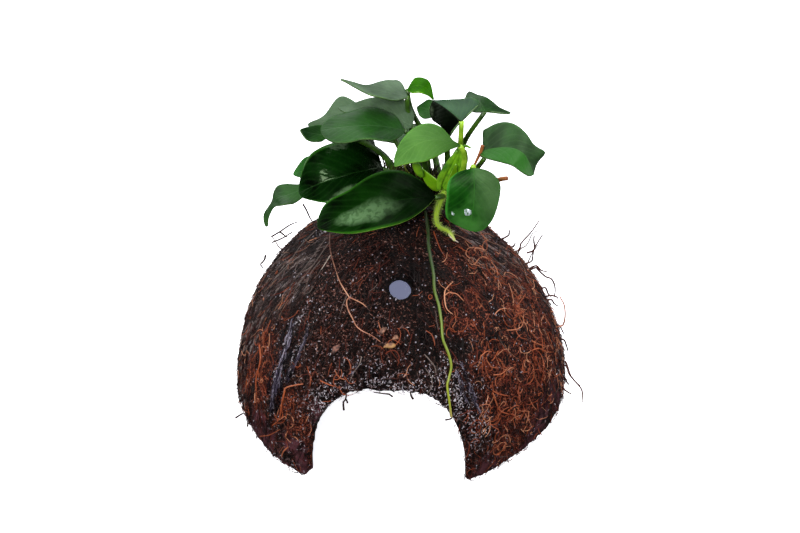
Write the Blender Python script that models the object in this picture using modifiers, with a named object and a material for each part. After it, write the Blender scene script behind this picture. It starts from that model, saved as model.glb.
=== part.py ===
"""Anubias growing on half a coconut shell: a cave for small fish, with a water plant on its roof.

Real size, in metres, +Z up. The shell stands rim down on the plane z = 0. The origin is on that plane, at
the middle of the part's outline seen from above. The door of the cave faces -Y, and the rhizome creeps over
the top of the shell along X. Sizes and places below are in millimetres from the shell's own axis. Bearings
are degrees anticlockwise from +X, seen from above: 180 is left, 270 is the front.
"""

import math
from collections import namedtuple

import bmesh
import bpy
from mathutils import Matrix, Vector, noise

MM = 0.001

# The door takes away the front of the rim, so the shell's axis stands a little in front of the part's middle.
SHELL_AXIS = (-1.2, -2.7, 0.0)

# Half a coconut, sawn across at its widest girth. The hard shell still carries a skin of coir.
SHELL_RADIUS = 60.0
DOME_HEIGHT = 70.0
DOME_POWER = 1.8
RIDGE_SHARE = 0.018
RIDGE_BEARING = 242.0
WALL = 4.6
ROUND_STEPS = 64
RING_STEPS = 15
LUMP_HEIGHT = 0.9
LUMPS_AROUND = 2.6
LUMPS_UP = 2.2
STRAND_HEIGHT = 0.45
STRANDS_AROUND = 13.0
STRANDS_UP = 3.0
CALM_RIM = 0.25

# The door, a flat-topped arch, and the drilled water hole above it.
DOOR_HALF_WIDTH = 27.0
DOOR_LEFT_LIMIT = 24.8
DOOR_HEIGHT = 37.2
DOOR_POWER = 2.55
DOOR_MIDDLE_X = 0.6
DOOR_FRONT_Y = -70.0
DOOR_BACK_Y = -37.0
DOOR_EDGE_Y = -51.0
DOOR_BOTTOM_Z = -10.0
DOOR_STEPS = 26
LEFT_CHEEK_SLOPE = 0.75
RIGHT_CHEEK_SLOPE = 0.10
HOLE_DIAMETER = 7.5
HOLE_DEPTH = 24.0
HOLE_CENTRE = (3.35, -24.6, 61.4)
HOLE_BEARING = 292.0
HOLE_RISE = 61.0

# The creeping stem, lying on the top of the shell.
RHIZOME_RADIUS = 3.7
RHIZOME_LIFT = 5.4
RHIZOME_RINGS = 15
RHIZOME_RING = 0.25
RHIZOME_RUN = ((-16.0, 9.0), (-10.0, 10.0), (-2.0, 9.5), (6.0, 10.5), (14.0, 9.5), (21.0, 8.0))

# The blades and their stalks.
BLADE_THICKNESS = 0.8
TIP_HALF_WIDTH = 0.4
BASE_HALF_WIDTH = 0.64
FOLDED_HALF_WIDTH = 8.0
WAVES = 1.6
BASE_STEPS = 3
TIP_STEPS = 5
ACROSS_STEPS = 4
STALK_GAP = 0.5
BLADE_GAP = 1.1
STALK_FOOT_RADIUS = 1.15
STALK_TOP_RADIUS = 0.8
STALK_BEND = 0.16
STALK_POINTS = 7
OLD_STALK_FOOT = (20.0, 75.0)
OLD_STALK_TIP = (35.7, 0.0, 89.3)
OLD_STALK_RISE = (3.0, 0.0, 3.0)
OLD_STALK_END = (5.0, -1.0, 1.0)

# The roots, and the loose strands of coir.
ROOT_STEP = 6.0
STRAND_RADIUS = 0.3


def clear_scene():
    for thing in list(bpy.data.objects):
        bpy.data.objects.remove(thing, do_unlink=True)


def stand_on_axis(collections):
    """Hangs every piece and cutter on one empty, which stands in the rim's plane, straight under the pole."""
    axis = bpy.data.objects.new("shell_axis", None)
    axis.location = Vector(SHELL_AXIS) * MM
    bpy.context.scene.collection.objects.link(axis)
    for collection in collections:
        for thing in collection.objects:
            thing.parent = axis


def new_collection(name):
    collection = bpy.data.collections.new(name)
    bpy.context.scene.collection.children.link(collection)
    return collection


def material(name, colour, roughness):
    """A plain Principled material of this linear colour."""
    made = bpy.data.materials.new(name)
    made.use_nodes = True
    shader = made.node_tree.nodes["Principled BSDF"]
    shader.inputs["Base Color"].default_value = (*colour, 1.0)
    shader.inputs["Roughness"].default_value = roughness
    shader.inputs["Metallic"].default_value = 0.0
    return made


def add_object(name, data, collection, finish=None):
    thing = bpy.data.objects.new(name, data)
    collection.objects.link(thing)
    if finish is not None:
        data.materials.append(finish)
    return thing


def as_mesh(thing, collection):
    """Turns a curve into a closed mesh object of the same name, its caps welded on."""
    graph = bpy.context.evaluated_depsgraph_get()
    mesh = bpy.data.meshes.new_from_object(thing.evaluated_get(graph))
    welded = bmesh.new()
    welded.from_mesh(mesh)
    bmesh.ops.remove_doubles(welded, verts=welded.verts, dist=0.00001)
    welded.to_mesh(mesh)
    welded.free()
    name, place = thing.name, thing.matrix_world.copy()
    bpy.data.objects.remove(thing)
    solid = bpy.data.objects.new(name, mesh)
    collection.objects.link(solid)
    solid.matrix_world = place
    return solid


def cut(target, cutter):
    """Takes the cutter's form out of the target, and leaves the cutter there as a wire outline."""
    cutter.hide_render = True
    cutter.display_type = "WIRE"
    step = target.modifiers.new("cut_" + cutter.name, "BOOLEAN")
    step.operation = "DIFFERENCE"
    step.object = cutter


def tube(name, points, radii, collection, finish, sides=8):
    """A round stem or root along these points, in millimetres, with its ends closed."""
    curve = bpy.data.curves.new(name, "CURVE")
    curve.dimensions = "3D"
    curve.bevel_depth = MM
    curve.bevel_resolution = (sides - 4) // 2
    curve.use_fill_caps = True
    spline = curve.splines.new("POLY")
    spline.points.add(len(points) - 1)
    for place, at, radius in zip(spline.points, points, radii):
        place.co = (*(Vector(at) * MM), 1.0)
        place.radius = radius
    add_object(name, curve, collection, finish)


# The coconut shell


def shell_relief(bearing, latitude):
    """How far coir and lumps stand out of the smooth dome here, in millimetres."""
    angle = math.radians(bearing)
    around = Vector((math.cos(angle), math.sin(angle), 0.0))
    lumps = noise.noise(around * LUMPS_AROUND + Vector((0.0, 0.0, latitude * LUMPS_UP)))
    strands = noise.noise(around * STRANDS_AROUND + Vector((0.0, 0.0, latitude * STRANDS_UP)))
    calm_at_pole = math.cos(latitude) ** 0.5
    calm_at_rim = min(1.0, latitude / CALM_RIM)
    return (LUMP_HEIGHT * lumps + STRAND_HEIGHT * strands * calm_at_rim) * calm_at_pole


def shell_ridges(bearing):
    """The three soft ridges that run from pole to rim, as a share of the radius."""
    return 1.0 + RIDGE_SHARE * math.cos(math.radians(3.0 * (bearing - RIDGE_BEARING)))


def shell_point(bearing, latitude, lift=0.0):
    """A point of the shell's outer face, in millimetres. Latitude is 0 at the rim and pi / 2 at the pole."""
    power = 2.0 / DOME_POWER
    radius = SHELL_RADIUS * math.cos(latitude) ** power
    height = DOME_HEIGHT * math.sin(latitude) ** power
    outwards = Vector((math.cos(latitude) / SHELL_RADIUS, 0.0, math.sin(latitude) / DOME_HEIGHT)).normalized()
    stand = shell_relief(bearing, latitude) + lift
    flat = Vector((radius * shell_ridges(bearing), 0.0, height)) + outwards * stand
    return Matrix.Rotation(math.radians(bearing), 3, "Z") @ flat


def over_shell(x, y, lift):
    """The point this far above the shell's roof at x, y."""
    bearing = math.degrees(math.atan2(y, x))
    share = min(0.999, math.hypot(x, y) / (SHELL_RADIUS * shell_ridges(bearing)))
    latitude = math.acos(share ** (DOME_POWER / 2.0))
    return shell_point(bearing, latitude, lift)


def make_shell(parts, cutters, finish):
    """A dome bent from half a sphere with a flat floor, then hollowed, sawn and drilled."""
    mesh = bmesh.new()
    bmesh.ops.create_uvsphere(mesh, u_segments=ROUND_STEPS, v_segments=RING_STEPS * 2, radius=1.0)
    below = [v for v in mesh.verts if v.co.z < -0.001]
    bmesh.ops.delete(mesh, geom=below, context="VERTS")
    bmesh.ops.holes_fill(mesh, edges=[e for e in mesh.edges if e.is_boundary], sides=0)
    for v in mesh.verts:
        latitude = math.asin(max(0.0, min(1.0, v.co.z)))
        bearing = math.degrees(math.atan2(v.co.y, v.co.x))
        v.co = shell_point(bearing, latitude) * MM
        if latitude < 0.001:
            v.co.z = 0.0
    bmesh.ops.recalc_face_normals(mesh, faces=mesh.faces)
    data = bpy.data.meshes.new("coconut_shell")
    mesh.to_mesh(data)
    mesh.free()
    shell = add_object("coconut_shell", data, parts, finish)
    for cutter in (cave_cutter(cutters), door_cutter(cutters), hole_cutter(cutters)):
        cut(shell, cutter)


def cave_cutter(cutters):
    """The hollow: the dome's own form, one wall thickness smaller."""
    mesh = bmesh.new()
    bmesh.ops.create_uvsphere(mesh, u_segments=40, v_segments=20, radius=1.0)
    power = 2.0 / DOME_POWER
    for v in mesh.verts:
        latitude = math.asin(max(-1.0, min(1.0, v.co.z)))
        bearing = math.atan2(v.co.y, v.co.x)
        radius = (SHELL_RADIUS - WALL) * math.cos(latitude) ** power * shell_ridges(math.degrees(bearing))
        height = math.copysign((DOME_HEIGHT - WALL) * abs(math.sin(latitude)) ** power, latitude)
        v.co = Vector((radius * math.cos(bearing), radius * math.sin(bearing), height)) * MM
    data = bpy.data.meshes.new("cave")
    mesh.to_mesh(data)
    mesh.free()
    return add_object("cave", data, cutters)


def door_cutter(cutters):
    """The arch, sawn inwards with its left cheek opened towards the middle of the shell."""
    outline = []
    for i in range(DOOR_STEPS + 1):
        turn = math.pi * i / DOOR_STEPS
        x = DOOR_HALF_WIDTH * math.copysign(abs(math.cos(turn)) ** (2.0 / DOOR_POWER), math.cos(turn))
        z = DOOR_HEIGHT * max(0.0, math.sin(turn)) ** (2.0 / DOOR_POWER)
        outline.append((max(x, -DOOR_LEFT_LIMIT), z))
    outline += [(-DOOR_LEFT_LIMIT, DOOR_BOTTOM_Z), (DOOR_HALF_WIDTH, DOOR_BOTTOM_Z)]
    curve = bpy.data.curves.new("door", "CURVE")
    curve.dimensions = "2D"
    curve.fill_mode = "BOTH"
    curve.extrude = abs(DOOR_FRONT_Y - DOOR_BACK_Y) / 2.0 * MM
    spline = curve.splines.new("POLY")
    spline.points.add(len(outline) - 1)
    for place, (x, z) in zip(spline.points, outline):
        place.co = (x * MM, z * MM, 0.0, 1.0)
    spline.use_cyclic_u = True
    door = add_object("door", curve, cutters)
    door.rotation_euler = (math.radians(90.0), 0.0, 0.0)
    door.location = (DOOR_MIDDLE_X * MM, (DOOR_FRONT_Y + DOOR_BACK_Y) / 2.0 * MM, 0.0)
    bpy.context.view_layer.update()
    door = as_mesh(door, cutters)
    door.data.transform(door.matrix_world)
    door.matrix_world = Matrix.Identity(4)
    for v in door.data.vertices:
        inwards = v.co.y - DOOR_EDGE_Y * MM
        share = (v.co.x - DOOR_MIDDLE_X * MM) / (DOOR_HALF_WIDTH * MM)
        slope = LEFT_CHEEK_SLOPE if share < 0 else RIGHT_CHEEK_SLOPE
        v.co.x -= share * slope * inwards
    return door


def hole_cutter(cutters):
    mesh = bmesh.new()
    bmesh.ops.create_cone(
        mesh,
        cap_ends=True,
        segments=24,
        radius1=HOLE_DIAMETER / 2.0 * MM,
        radius2=HOLE_DIAMETER / 2.0 * MM,
        depth=HOLE_DEPTH * MM,
    )
    data = bpy.data.meshes.new("water_hole")
    mesh.to_mesh(data)
    mesh.free()
    hole = add_object("water_hole", data, cutters)
    bearing, rise = math.radians(HOLE_BEARING), math.radians(HOLE_RISE)
    aim = Vector((math.cos(bearing) * math.cos(rise), math.sin(bearing) * math.cos(rise), math.sin(rise)))
    hole.rotation_euler = aim.to_track_quat("Z", "Y").to_euler()
    hole.location = Vector(HOLE_CENTRE) * MM
    return hole


# The leaves

# base, tip: the two ends of the midrib, in millimetres. arch: how far the midrib bows up between them, most of
# all at crest, a share of its length. swing: how far it bows to its right, seen from the base. face: the bearing
# and the elevation that the upper side looks to. widest: a share of the length. taper: low where the blade
# narrows early, high where its end is blunt. fold: the angle that both halves rise from the midrib. cup: more of
# that rise, towards the margins. wave: the height of the margin's waves. foot: the place along the rhizome where
# the stalk starts, and its turn towards the back. rise: how far the stalk keeps on in that direction.
Leaf = namedtuple("Leaf", "name base tip arch crest swing face width widest taper fold cup wave shade foot rise")

LEAVES = (
    Leaf("front_broad", (12.5, -4, 83), (-25, -13, 75), 3.5, 0.5, 0, (250, 62), 21.5, 0.42, 2.1, 6, -0.1, 0.5,
         "dark", (14, -38), 5),
    Leaf("left_dark", (-6, 9, 84), (-32.5, -2, 79), 3.0, 0.5, 0, (250, 42), 24, 0.42, 2.3, 8, -0.1, 0.7,
         "dark", (1.5, -38), 4),
    Leaf("middle_left", (1.5, 6, 101.5), (-24, -4, 106.5), 2.0, 0.5, 0, (260, 84), 18, 0.42, 2.2, 5, -0.1, 0.6,
         "dark", (8, 0), 10),
    Leaf("back_left", (3.5, 12, 99.5), (-21, 16, 102.5), 2.5, 0.5, 0, (260, 75), 15.5, 0.36, 1.6, 8, 0, 0.6,
         "dark", (8, 42), 9),
    Leaf("top_grey", (1.5, 16, 108.5), (-19.5, 12, 116), -2.0, 0.5, 0, (90, 83), 17, 0.28, 1.1, 6, 0, 0.5,
         "dark", (5, 30), 12),
    Leaf("far_left_round", (-12, 20, 98), (-31, 12, 98), 0.5, 0.5, 0, (235, 46), 17.5, 0.36, 1.1, 5, 0, 0.4,
         "dark", (2, 30), 9),
    Leaf("far_left_small", (-21.5, 6, 98.5), (-31.5, 1, 103), -1.0, 0.5, 0, (240, 50), 9, 0.42, 2.0, 10, 0, 0.3,
         "dark", (-2, 10), 12),
    Leaf("left_peek", (-21, 12, 82.5), (-36.5, 10, 79), 1.0, 0.5, 0, (240, 65), 8, 0.42, 2.0, 8, 0, 0.3,
         "young", (-6, 20), 4),
    Leaf("left_low", (-29.5, 5, 78), (-44, -8, 70.5), 6.0, 0.75, 0, (235, 65), 9, 0.42, 1.2, 6, 0, 0.4,
         "dark", (-11, -15), 3),
    Leaf("centre_light", (20, -6, 105), (0.5, -14, 101.5), 1.5, 0.4, 4.5, (258, 58), 15, 0.42, 2.1, -8, 0, 0.3,
         "young", (17, -38), 12),
    Leaf("top_right", (20, 2, 109), (10.5, 10, 111), 1.0, 0.5, 0, (265, 62), 21, 0.42, 1.9, -25, 0, 0.4,
         "dark", (17, 2), 12),
    Leaf("right_edge", (27, 11.5, 106.8), (21.5, 22, 107.5), 1.0, 0.5, 0, (0, 78), 22, 0.42, 1.9, -14, 0, 0.4,
         "dark", (17, 42), 18),
    Leaf("top_bright", (1.5, 20, 108.5), (10, 18, 106.5), 4.0, 0.5, 0, (265, 75), 7, 0.42, 2.4, 3, 0, 0.2,
         "young", (11, 42), 17),
    Leaf("back_small", (11.5, 12, 105), (5, 15, 105), 1.0, 0.5, 0, (260, 60), 7, 0.42, 2.0, 6, 0, 0.3,
         "dark", (14, 2), 10),
    Leaf("right_folded", (28, -3, 99), (44.2, -12, 99.5), 2.5, 0.5, 0, (90, 82), 23, 0.36, 1.9, 52, 0, 0.6,
         "dark", (20.5, 20), 10),
    Leaf("front_right", (24.7, -6.5, 97), (22.7, -13.5, 78), 2.0, 0.4, 0, (265, 25), 19.5, 0.42, 3.2, 4, -0.1, 0.4,
         "dark", (20, -36), 8),
    Leaf("behind_wide", (2, 24, 84), (-10, 42, 78), 3.0, 0.5, 0, (110, 60), 20, 0.42, 2.1, 6, -0.1, 0.6,
         "dark", (4, 70), 6),
    Leaf("behind_right", (20, 25, 67.5), (29, 41, 52), 3.0, 0.5, 0, (55, 50), 12, 0.42, 2.1, 6, -0.1, 0.5,
         "dark", (14.5, 75), 5),
    Leaf("behind_left", (-13, 24, 80), (-25, 38, 65), 3.0, 0.5, 0, (130, 55), 16, 0.42, 2.1, 6, -0.1, 0.5,
         "dark", (-6, 65), 5),
)


def midrib(leaf, along):
    """The point this share of the way from the blade's base to its tip, in millimetres."""
    base, tip = Vector(leaf.base), Vector(leaf.tip)
    chord = (tip - base).normalized()
    right = chord.cross(look(leaf)).normalized()
    up = right.cross(chord)
    early = leaf.crest / (1.0 - leaf.crest)
    peak = leaf.crest**early * (1.0 - leaf.crest)
    bow = up * (leaf.arch * along**early * (1.0 - along) / peak)
    return base.lerp(tip, along) + bow + right * (leaf.swing * 4.0 * along * (1.0 - along))


def look(leaf):
    """The direction that the leaf's upper side looks to."""
    bearing, elevation = (math.radians(angle) for angle in leaf.face)
    level = math.cos(elevation)
    return Vector((math.cos(bearing) * level, math.sin(bearing) * level, math.sin(elevation)))


def heading(leaf, along):
    step = 0.01
    before, after = max(0.0, along - step), min(1.0, along + step)
    return (midrib(leaf, after) - midrib(leaf, before)).normalized()


def half_width(leaf, along):
    """An egg-shaped blade: an elliptical base, and a tip that runs out to a point."""
    if along < leaf.widest:
        share = math.sqrt(max(0.0, 1.0 - ((leaf.widest - along) / leaf.widest) ** 2))
        return max(BASE_HALF_WIDTH, leaf.width / 2.0 * share)
    share = 1.0 - ((along - leaf.widest) / (1.0 - leaf.widest)) ** leaf.taper
    return max(TIP_HALF_WIDTH, leaf.width / 2.0 * share)


def blade_point(leaf, along, across):
    """A point of the blade's middle surface. Across runs from -1 at one margin to 1 at the other."""
    forward = heading(leaf, along)
    right = forward.cross(look(leaf)).normalized()
    up = right.cross(forward)
    side = across * half_width(leaf, along)
    fold = math.radians(leaf.fold) * min(1.0, half_width(leaf, along) / FOLDED_HALF_WIDTH)
    rise = abs(side) * math.sin(fold) + leaf.cup * side * side / (leaf.width / 2.0)
    phase = 2.0 * math.pi * (WAVES * along + 0.31 * len(leaf.name)) + (1.9 if across > 0 else 0.0)
    rise += leaf.wave * math.sin(phase) * across * across * min(1.0, 4.0 * along * (1.0 - along))
    return midrib(leaf, along) + right * side * math.cos(fold) + up * rise


def stations(leaf):
    """Grid lines down the blade, closer together where its base rounds off."""
    rounded = [leaf.widest * (1.0 - math.cos(math.pi / 2.0 * i / BASE_STEPS)) for i in range(BASE_STEPS)]
    return rounded + [leaf.widest + (1.0 - leaf.widest) * i / TIP_STEPS for i in range(TIP_STEPS + 1)]


def make_blade(leaf, name, parts, finish):
    """A grid of faces bent to the leaf's form, then given its thickness."""
    mesh = bmesh.new()
    length_steps = BASE_STEPS + TIP_STEPS
    bmesh.ops.create_grid(mesh, x_segments=length_steps, y_segments=ACROSS_STEPS, size=1.0)
    places = stations(leaf)
    for v in mesh.verts:
        step = round((v.co.x + 1.0) / 2.0 * length_steps)
        v.co = blade_point(leaf, places[step], v.co.y) * MM
    bmesh.ops.recalc_face_normals(mesh, faces=mesh.faces)
    data = bpy.data.meshes.new(name)
    mesh.to_mesh(data)
    mesh.free()
    data.shade_smooth()
    blade = add_object(name, data, parts, finish)
    body = blade.modifiers.new("thickness", "SOLIDIFY")
    body.thickness = BLADE_THICKNESS * MM
    body.offset = 0.0


def bezier(a, b, c, d, t):
    s = 1.0 - t
    return a * s**3 + b * 3.0 * s * s * t + c * 3.0 * s * t * t + d * t**3


def make_stalk(leaf, parts, finish):
    """From the rhizome, and into line with the midrib where it meets the blade."""
    x, turn = leaf.foot
    start = rhizome_surface(x, turn)
    forward = heading(leaf, 0.0)
    end = Vector(leaf.base) - forward * BLADE_GAP
    reach = (end - start).length
    first = start + rhizome_normal(turn) * leaf.rise
    second = end - forward * reach * STALK_BEND
    shares = [i / (STALK_POINTS - 1) for i in range(STALK_POINTS)]
    points = [bezier(start, first, second, end, share) for share in shares]
    radii = [STALK_FOOT_RADIUS + (STALK_TOP_RADIUS - STALK_FOOT_RADIUS) * share for share in shares]
    tube("stalk_" + leaf.name, points, radii, parts, finish, sides=6)


def make_old_stalk(parts, finish):
    """The dry, brown stalk of a leaf that has dropped off."""
    x, turn = OLD_STALK_FOOT
    start, end = rhizome_surface(x, turn), Vector(OLD_STALK_TIP)
    first, second = start + Vector(OLD_STALK_RISE), end - Vector(OLD_STALK_END)
    points = [bezier(start, first, second, end, i / (STALK_POINTS - 1)) for i in range(STALK_POINTS)]
    tube("old_stalk", points, [STALK_TOP_RADIUS] * STALK_POINTS, parts, finish, sides=6)


# The young sheaths that wrap the bases of the stalks, made as narrow, deeply folded blades without a stalk.
SHEATHS = (
    Leaf("left", (14, 2.5, 81.7), (7.2, -1, 92.5), 1.0, 0.5, 0, (260, 20), 3.6, 0.42, 2.0, 25, 0, 0,
         "young", None, 0),
    Leaf("middle", (16.9, 3.0, 81), (19, -5.5, 97.5), 0.5, 0.5, 0, (275, 10), 3.0, 0.42, 2.0, 25, 0, 0,
         "young", None, 0),
)


# The rhizome


def rhizome_centre(x):
    """The middle of the creeping stem at this x."""
    for (x0, y0), (x1, y1) in zip(RHIZOME_RUN, RHIZOME_RUN[1:]):
        if x <= x1:
            break
    y = y0 + (y1 - y0) * (x - x0) / (x1 - x0)
    return over_shell(x, y, RHIZOME_LIFT)


def rhizome_normal(turn):
    """Straight up, turned this many degrees towards the back."""
    angle = math.radians(turn)
    return Vector((0.0, math.sin(angle), math.cos(angle)))


def rhizome_surface(x, turn):
    return rhizome_centre(x) + rhizome_normal(turn) * (RHIZOME_RADIUS + STALK_GAP)


def make_rhizome(parts, finish):
    """A creeping stem, ringed where old leaves have fallen, and narrower at both ends."""
    first, last = RHIZOME_RUN[0][0], RHIZOME_RUN[-1][0]
    points, radii = [], []
    for i in range(RHIZOME_RINGS):
        share = i / (RHIZOME_RINGS - 1)
        points.append(rhizome_centre(first + (last - first) * share))
        ring = RHIZOME_RING if i % 2 else 0.0
        taper = min(1.0, 0.62 + 1.6 * (1.0 - share), 0.75 + 2.5 * share)
        radii.append(RHIZOME_RADIUS * taper - ring)
    tube("rhizome", points, radii, parts, finish, sides=8)


# The roots, which hold the plant on the shell. route: points seen from above, each with the height of the root's
# middle over the shell there. radii: at the start and at the end.
Root = namedtuple("Root", "name route radii tone")

ROOTS = (
    Root("long_front", ((9, 4.2, 1.9), (10, -5, 1.4), (12, -15, 1.3), (15.2, -25.5, 1.2), (17.2, -32.6, 1.2),
         (19.3, -37.6, 1.2), (20.8, -40.8, 1.2), (20.4, -44.2, 1.2), (21.6, -47.6, 1.1)), (0.65, 0.45), "green"),
    Root("thick_front", ((15.4, 3.2, 9.0), (14.4, 2, 8.4), (13.2, 0.4, 6.6), (13.4, -1.2, 4.2), (15, -2.2, 2.4),
         (18.5, -3, 1.3)), (0.95, 0.6), "young"),
    Root("pink_left", ((-17.5, 5.5, 1.8), (-22.5, -1.5, 1.2), (-20.5, -13.5, 1.1), (-17, -21.5, 1.1),
         (-13.5, -27, 1.0)), (0.5, 0.45), "pink"),
    Root("pink_fork", ((-12.6, -28.2, 1.0), (-12.2, -31, 1.0), (-9, -36, 1.0), (-4, -38.4, 0.9)),
         (0.4, 0.35), "pink"),
    Root("back_left", ((-9, 14.5, 2.0), (-13, 24, 1.6), (-14, 33, 1.4), (-20, 41, 1.2)), (0.7, 0.45), "green"),
    Root("back_right", ((9, 15, 2.0), (10, 25, 1.6), (16, 34, 1.4), (17, 43, 1.2)), (0.7, 0.45), "green"),
)


def make_root(root, parts, finish):
    """A root that follows its route over the shell, in short even steps."""
    points, shares = [], []
    last = len(root.route) - 1
    for i, (a, b) in enumerate(zip(root.route, root.route[1:])):
        cuts = max(1, round(math.dist(a[:2], b[:2]) / ROOT_STEP))
        for step in range(cuts):
            points.append(over_shell(*Vector(a).lerp(Vector(b), step / cuts)))
            shares.append((i + step / cuts) / last)
    points.append(over_shell(*root.route[-1]))
    shares.append(1.0)
    radii = [root.radii[0] + (root.radii[1] - root.radii[0]) * share for share in shares]
    tube("root_" + root.name, points, radii, parts, finish, sides=6)


# The longest loose strands of coir, which stand well clear of the shell. foot: on the shell, seen from above.
# points: the places that the strand then passes, as steps from its foot.
Strand = namedtuple("Strand", "name foot points")

STRANDS = (
    Strand("right_high", (41.5, 18.5), ((1, 2, 2), (3, 3, 3), (4, 4, 4.5), (5, 5.5, 6.5), (7, 6.5, 7.5))),
    Strand("right_low", (45, 18), ((1, 2, 2), (2, 3.5, 4), (4, 5.5, 6.5))),
    Strand("left", (-43, 15.5), ((-2, 1, 1), (-3.5, 2.5, 2.5), (-5, 3, 4))),
)


def make_strand(strand, parts, finish):
    foot = over_shell(*strand.foot, STRAND_RADIUS + STALK_GAP)
    points = [foot] + [foot + Vector(step) for step in strand.points]
    tube("strand_" + strand.name, points, [STRAND_RADIUS] * len(points), parts, finish, sides=6)


def main():
    clear_scene()
    parts = new_collection("anubias_on_coconut_cave")
    cutters = new_collection("cutters")
    coir = material("coir_brown", (0.055, 0.024, 0.016), 0.6)
    rhizome_green = material("rhizome_green", (0.10, 0.14, 0.03), 0.5)
    stalk_green = material("stalk_green", (0.16, 0.36, 0.03), 0.4)
    blade_greens = {
        "dark": material("leaf_dark_green", (0.022, 0.085, 0.020), 0.3),
        "young": material("leaf_young_green", (0.12, 0.34, 0.05), 0.35),
    }
    root_tones = {
        "green": material("root_green", (0.12, 0.20, 0.04), 0.5),
        "young": material("root_young", (0.30, 0.45, 0.06), 0.5),
        "pink": material("root_pink", (0.35, 0.17, 0.12), 0.5),
    }
    make_shell(parts, cutters, coir)
    make_rhizome(parts, rhizome_green)
    for leaf in LEAVES:
        make_blade(leaf, "leaf_" + leaf.name, parts, blade_greens[leaf.shade])
        make_stalk(leaf, parts, stalk_green)
    make_old_stalk(parts, material("old_stalk_brown", (0.20, 0.07, 0.03), 0.7))
    for sheath in SHEATHS:
        make_blade(sheath, "sheath_" + sheath.name, parts, stalk_green)
    for root in ROOTS:
        make_root(root, parts, root_tones[root.tone])
    for strand in STRANDS:
        make_strand(strand, parts, coir)
    stand_on_axis((parts, cutters))


main()
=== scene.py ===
"""Anubias growing on half a coconut shell: how the real one looks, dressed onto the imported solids.

The frame is in metres, +Z up, with the door of the cave facing -Y. The sections follow the object as it is
put together: the half shell, its coir, the creeping stem, the roots, the blades, the stalks, the young
sheaths between them and the loose strands. Unless a comment says otherwise, a size is in millimetres and a
place is measured from the shell's own axis.
"""

import math
import random
from collections import namedtuple

import bmesh
import bpy
import numpy as np
from mathutils import Matrix, Vector, noise


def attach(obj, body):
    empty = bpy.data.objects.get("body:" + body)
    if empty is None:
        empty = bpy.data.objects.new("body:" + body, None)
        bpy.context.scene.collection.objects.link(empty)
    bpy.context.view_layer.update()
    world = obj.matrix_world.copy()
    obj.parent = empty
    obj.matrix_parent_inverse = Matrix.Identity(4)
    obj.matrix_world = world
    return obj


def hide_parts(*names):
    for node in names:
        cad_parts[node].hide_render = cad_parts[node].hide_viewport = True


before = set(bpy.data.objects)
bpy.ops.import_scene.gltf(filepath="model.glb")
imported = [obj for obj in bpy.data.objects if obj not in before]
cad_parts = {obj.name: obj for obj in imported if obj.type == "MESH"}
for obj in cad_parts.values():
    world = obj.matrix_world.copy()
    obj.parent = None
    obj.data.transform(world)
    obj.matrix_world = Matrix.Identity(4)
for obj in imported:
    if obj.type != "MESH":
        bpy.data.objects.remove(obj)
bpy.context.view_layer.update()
MM = 0.001

# The view
# The camera stands in front of the door, a little to the right, and looks down on the shell from arm's
# length. Its place and what it looks at are in millimetres in the frame.

CAMERA_PLACE = Vector((30.3, -335.6, 327.6)) * MM
CAMERA_AIM = Vector((-1.05, 3.55, 44.3)) * MM
LENS_MM = 56.57
SENSOR_MM = 36.0

camera = bpy.data.objects.new("camera", bpy.data.cameras.new("camera"))
camera.data.lens = LENS_MM
camera.data.sensor_width = SENSOR_MM
camera.data.clip_start = 0.01
camera.location = CAMERA_PLACE
camera.rotation_euler = (CAMERA_AIM - CAMERA_PLACE).to_track_quat("-Z", "Y").to_euler()
bpy.context.scene.collection.objects.link(camera)
bpy.context.scene.camera = camera
bpy.context.scene.view_settings.view_transform = "Standard"

# The studio
# A white table top that glows a little from below, as a light table does, and soft boxes above, behind and in
# front. The room behind the camera is dark, so that what faces the camera reflects little.


def linear(code):
    """A hex colour, as linear red, green, blue and alpha."""
    shares = [int(code[i : i + 2], 16) / 255.0 for i in (1, 3, 5)]
    return [s / 12.92 if s <= 0.04045 else ((s + 0.055) / 1.055) ** 2.4 for s in shares] + [1.0]


def add(tree, kind, links=None, output=0, stops=(), **settings):
    """Adds a node and gives back one output. Settings are its properties, and links what goes into it."""
    made = tree.nodes.new("ShaderNode" + kind)
    for name, value in settings.items():
        setattr(made, name, value)
    for to, source in (links or {}).items():
        if isinstance(source, bpy.types.NodeSocket):
            tree.links.new(source, made.inputs[to])
        else:
            made.inputs[to].default_value = source
    for k, (place, code) in enumerate(stops):
        bar = made.color_ramp.elements
        stop = bar[k] if k < len(bar) else bar.new(place)
        stop.position = place
        stop.color = linear(code)
    return made.outputs[output]


def new_material(name, sockets):
    """A material whose Principled shader has these values, as its node tree, that shader and itself."""
    made = bpy.data.materials.new(name)
    made.use_nodes = True
    shader = made.node_tree.nodes["Principled BSDF"]
    for socket, value in sockets.items():
        shader.inputs[socket].default_value = value
    return made.node_tree, shader, made


def softbox(name, place, aim, width, depth, power, colour):
    """A soft box, a white rectangle that shines on what it is aimed at."""
    light = bpy.data.lights.new(name, "AREA")
    light.shape = "RECTANGLE"
    light.size, light.size_y = width, depth
    light.energy = power
    light.color = linear(colour)[:3]
    box = bpy.data.objects.new(name, light)
    box.location = place
    box.rotation_euler = (Vector(aim) - Vector(place)).to_track_quat("-Z", "Y").to_euler()
    bpy.context.scene.collection.objects.link(box)


FLOOR_HALF = 3.0
FLOOR_DROP = 0.1 * MM
FLOOR_GLOW = 1.0
SHADE_GLOW = 0.4
SHADE_MIDDLE = (-0.004, 0.044, 0.0)
SHADE_CORE = 0.018
SHADE_REACH = 0.04

# White laminate, matt, so that it shows no highlight and only glows.
tree, shader, table_top = new_material("white_table_top", {"Base Color": linear("#f4f4f6"), "Roughness": 0.6})
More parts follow.
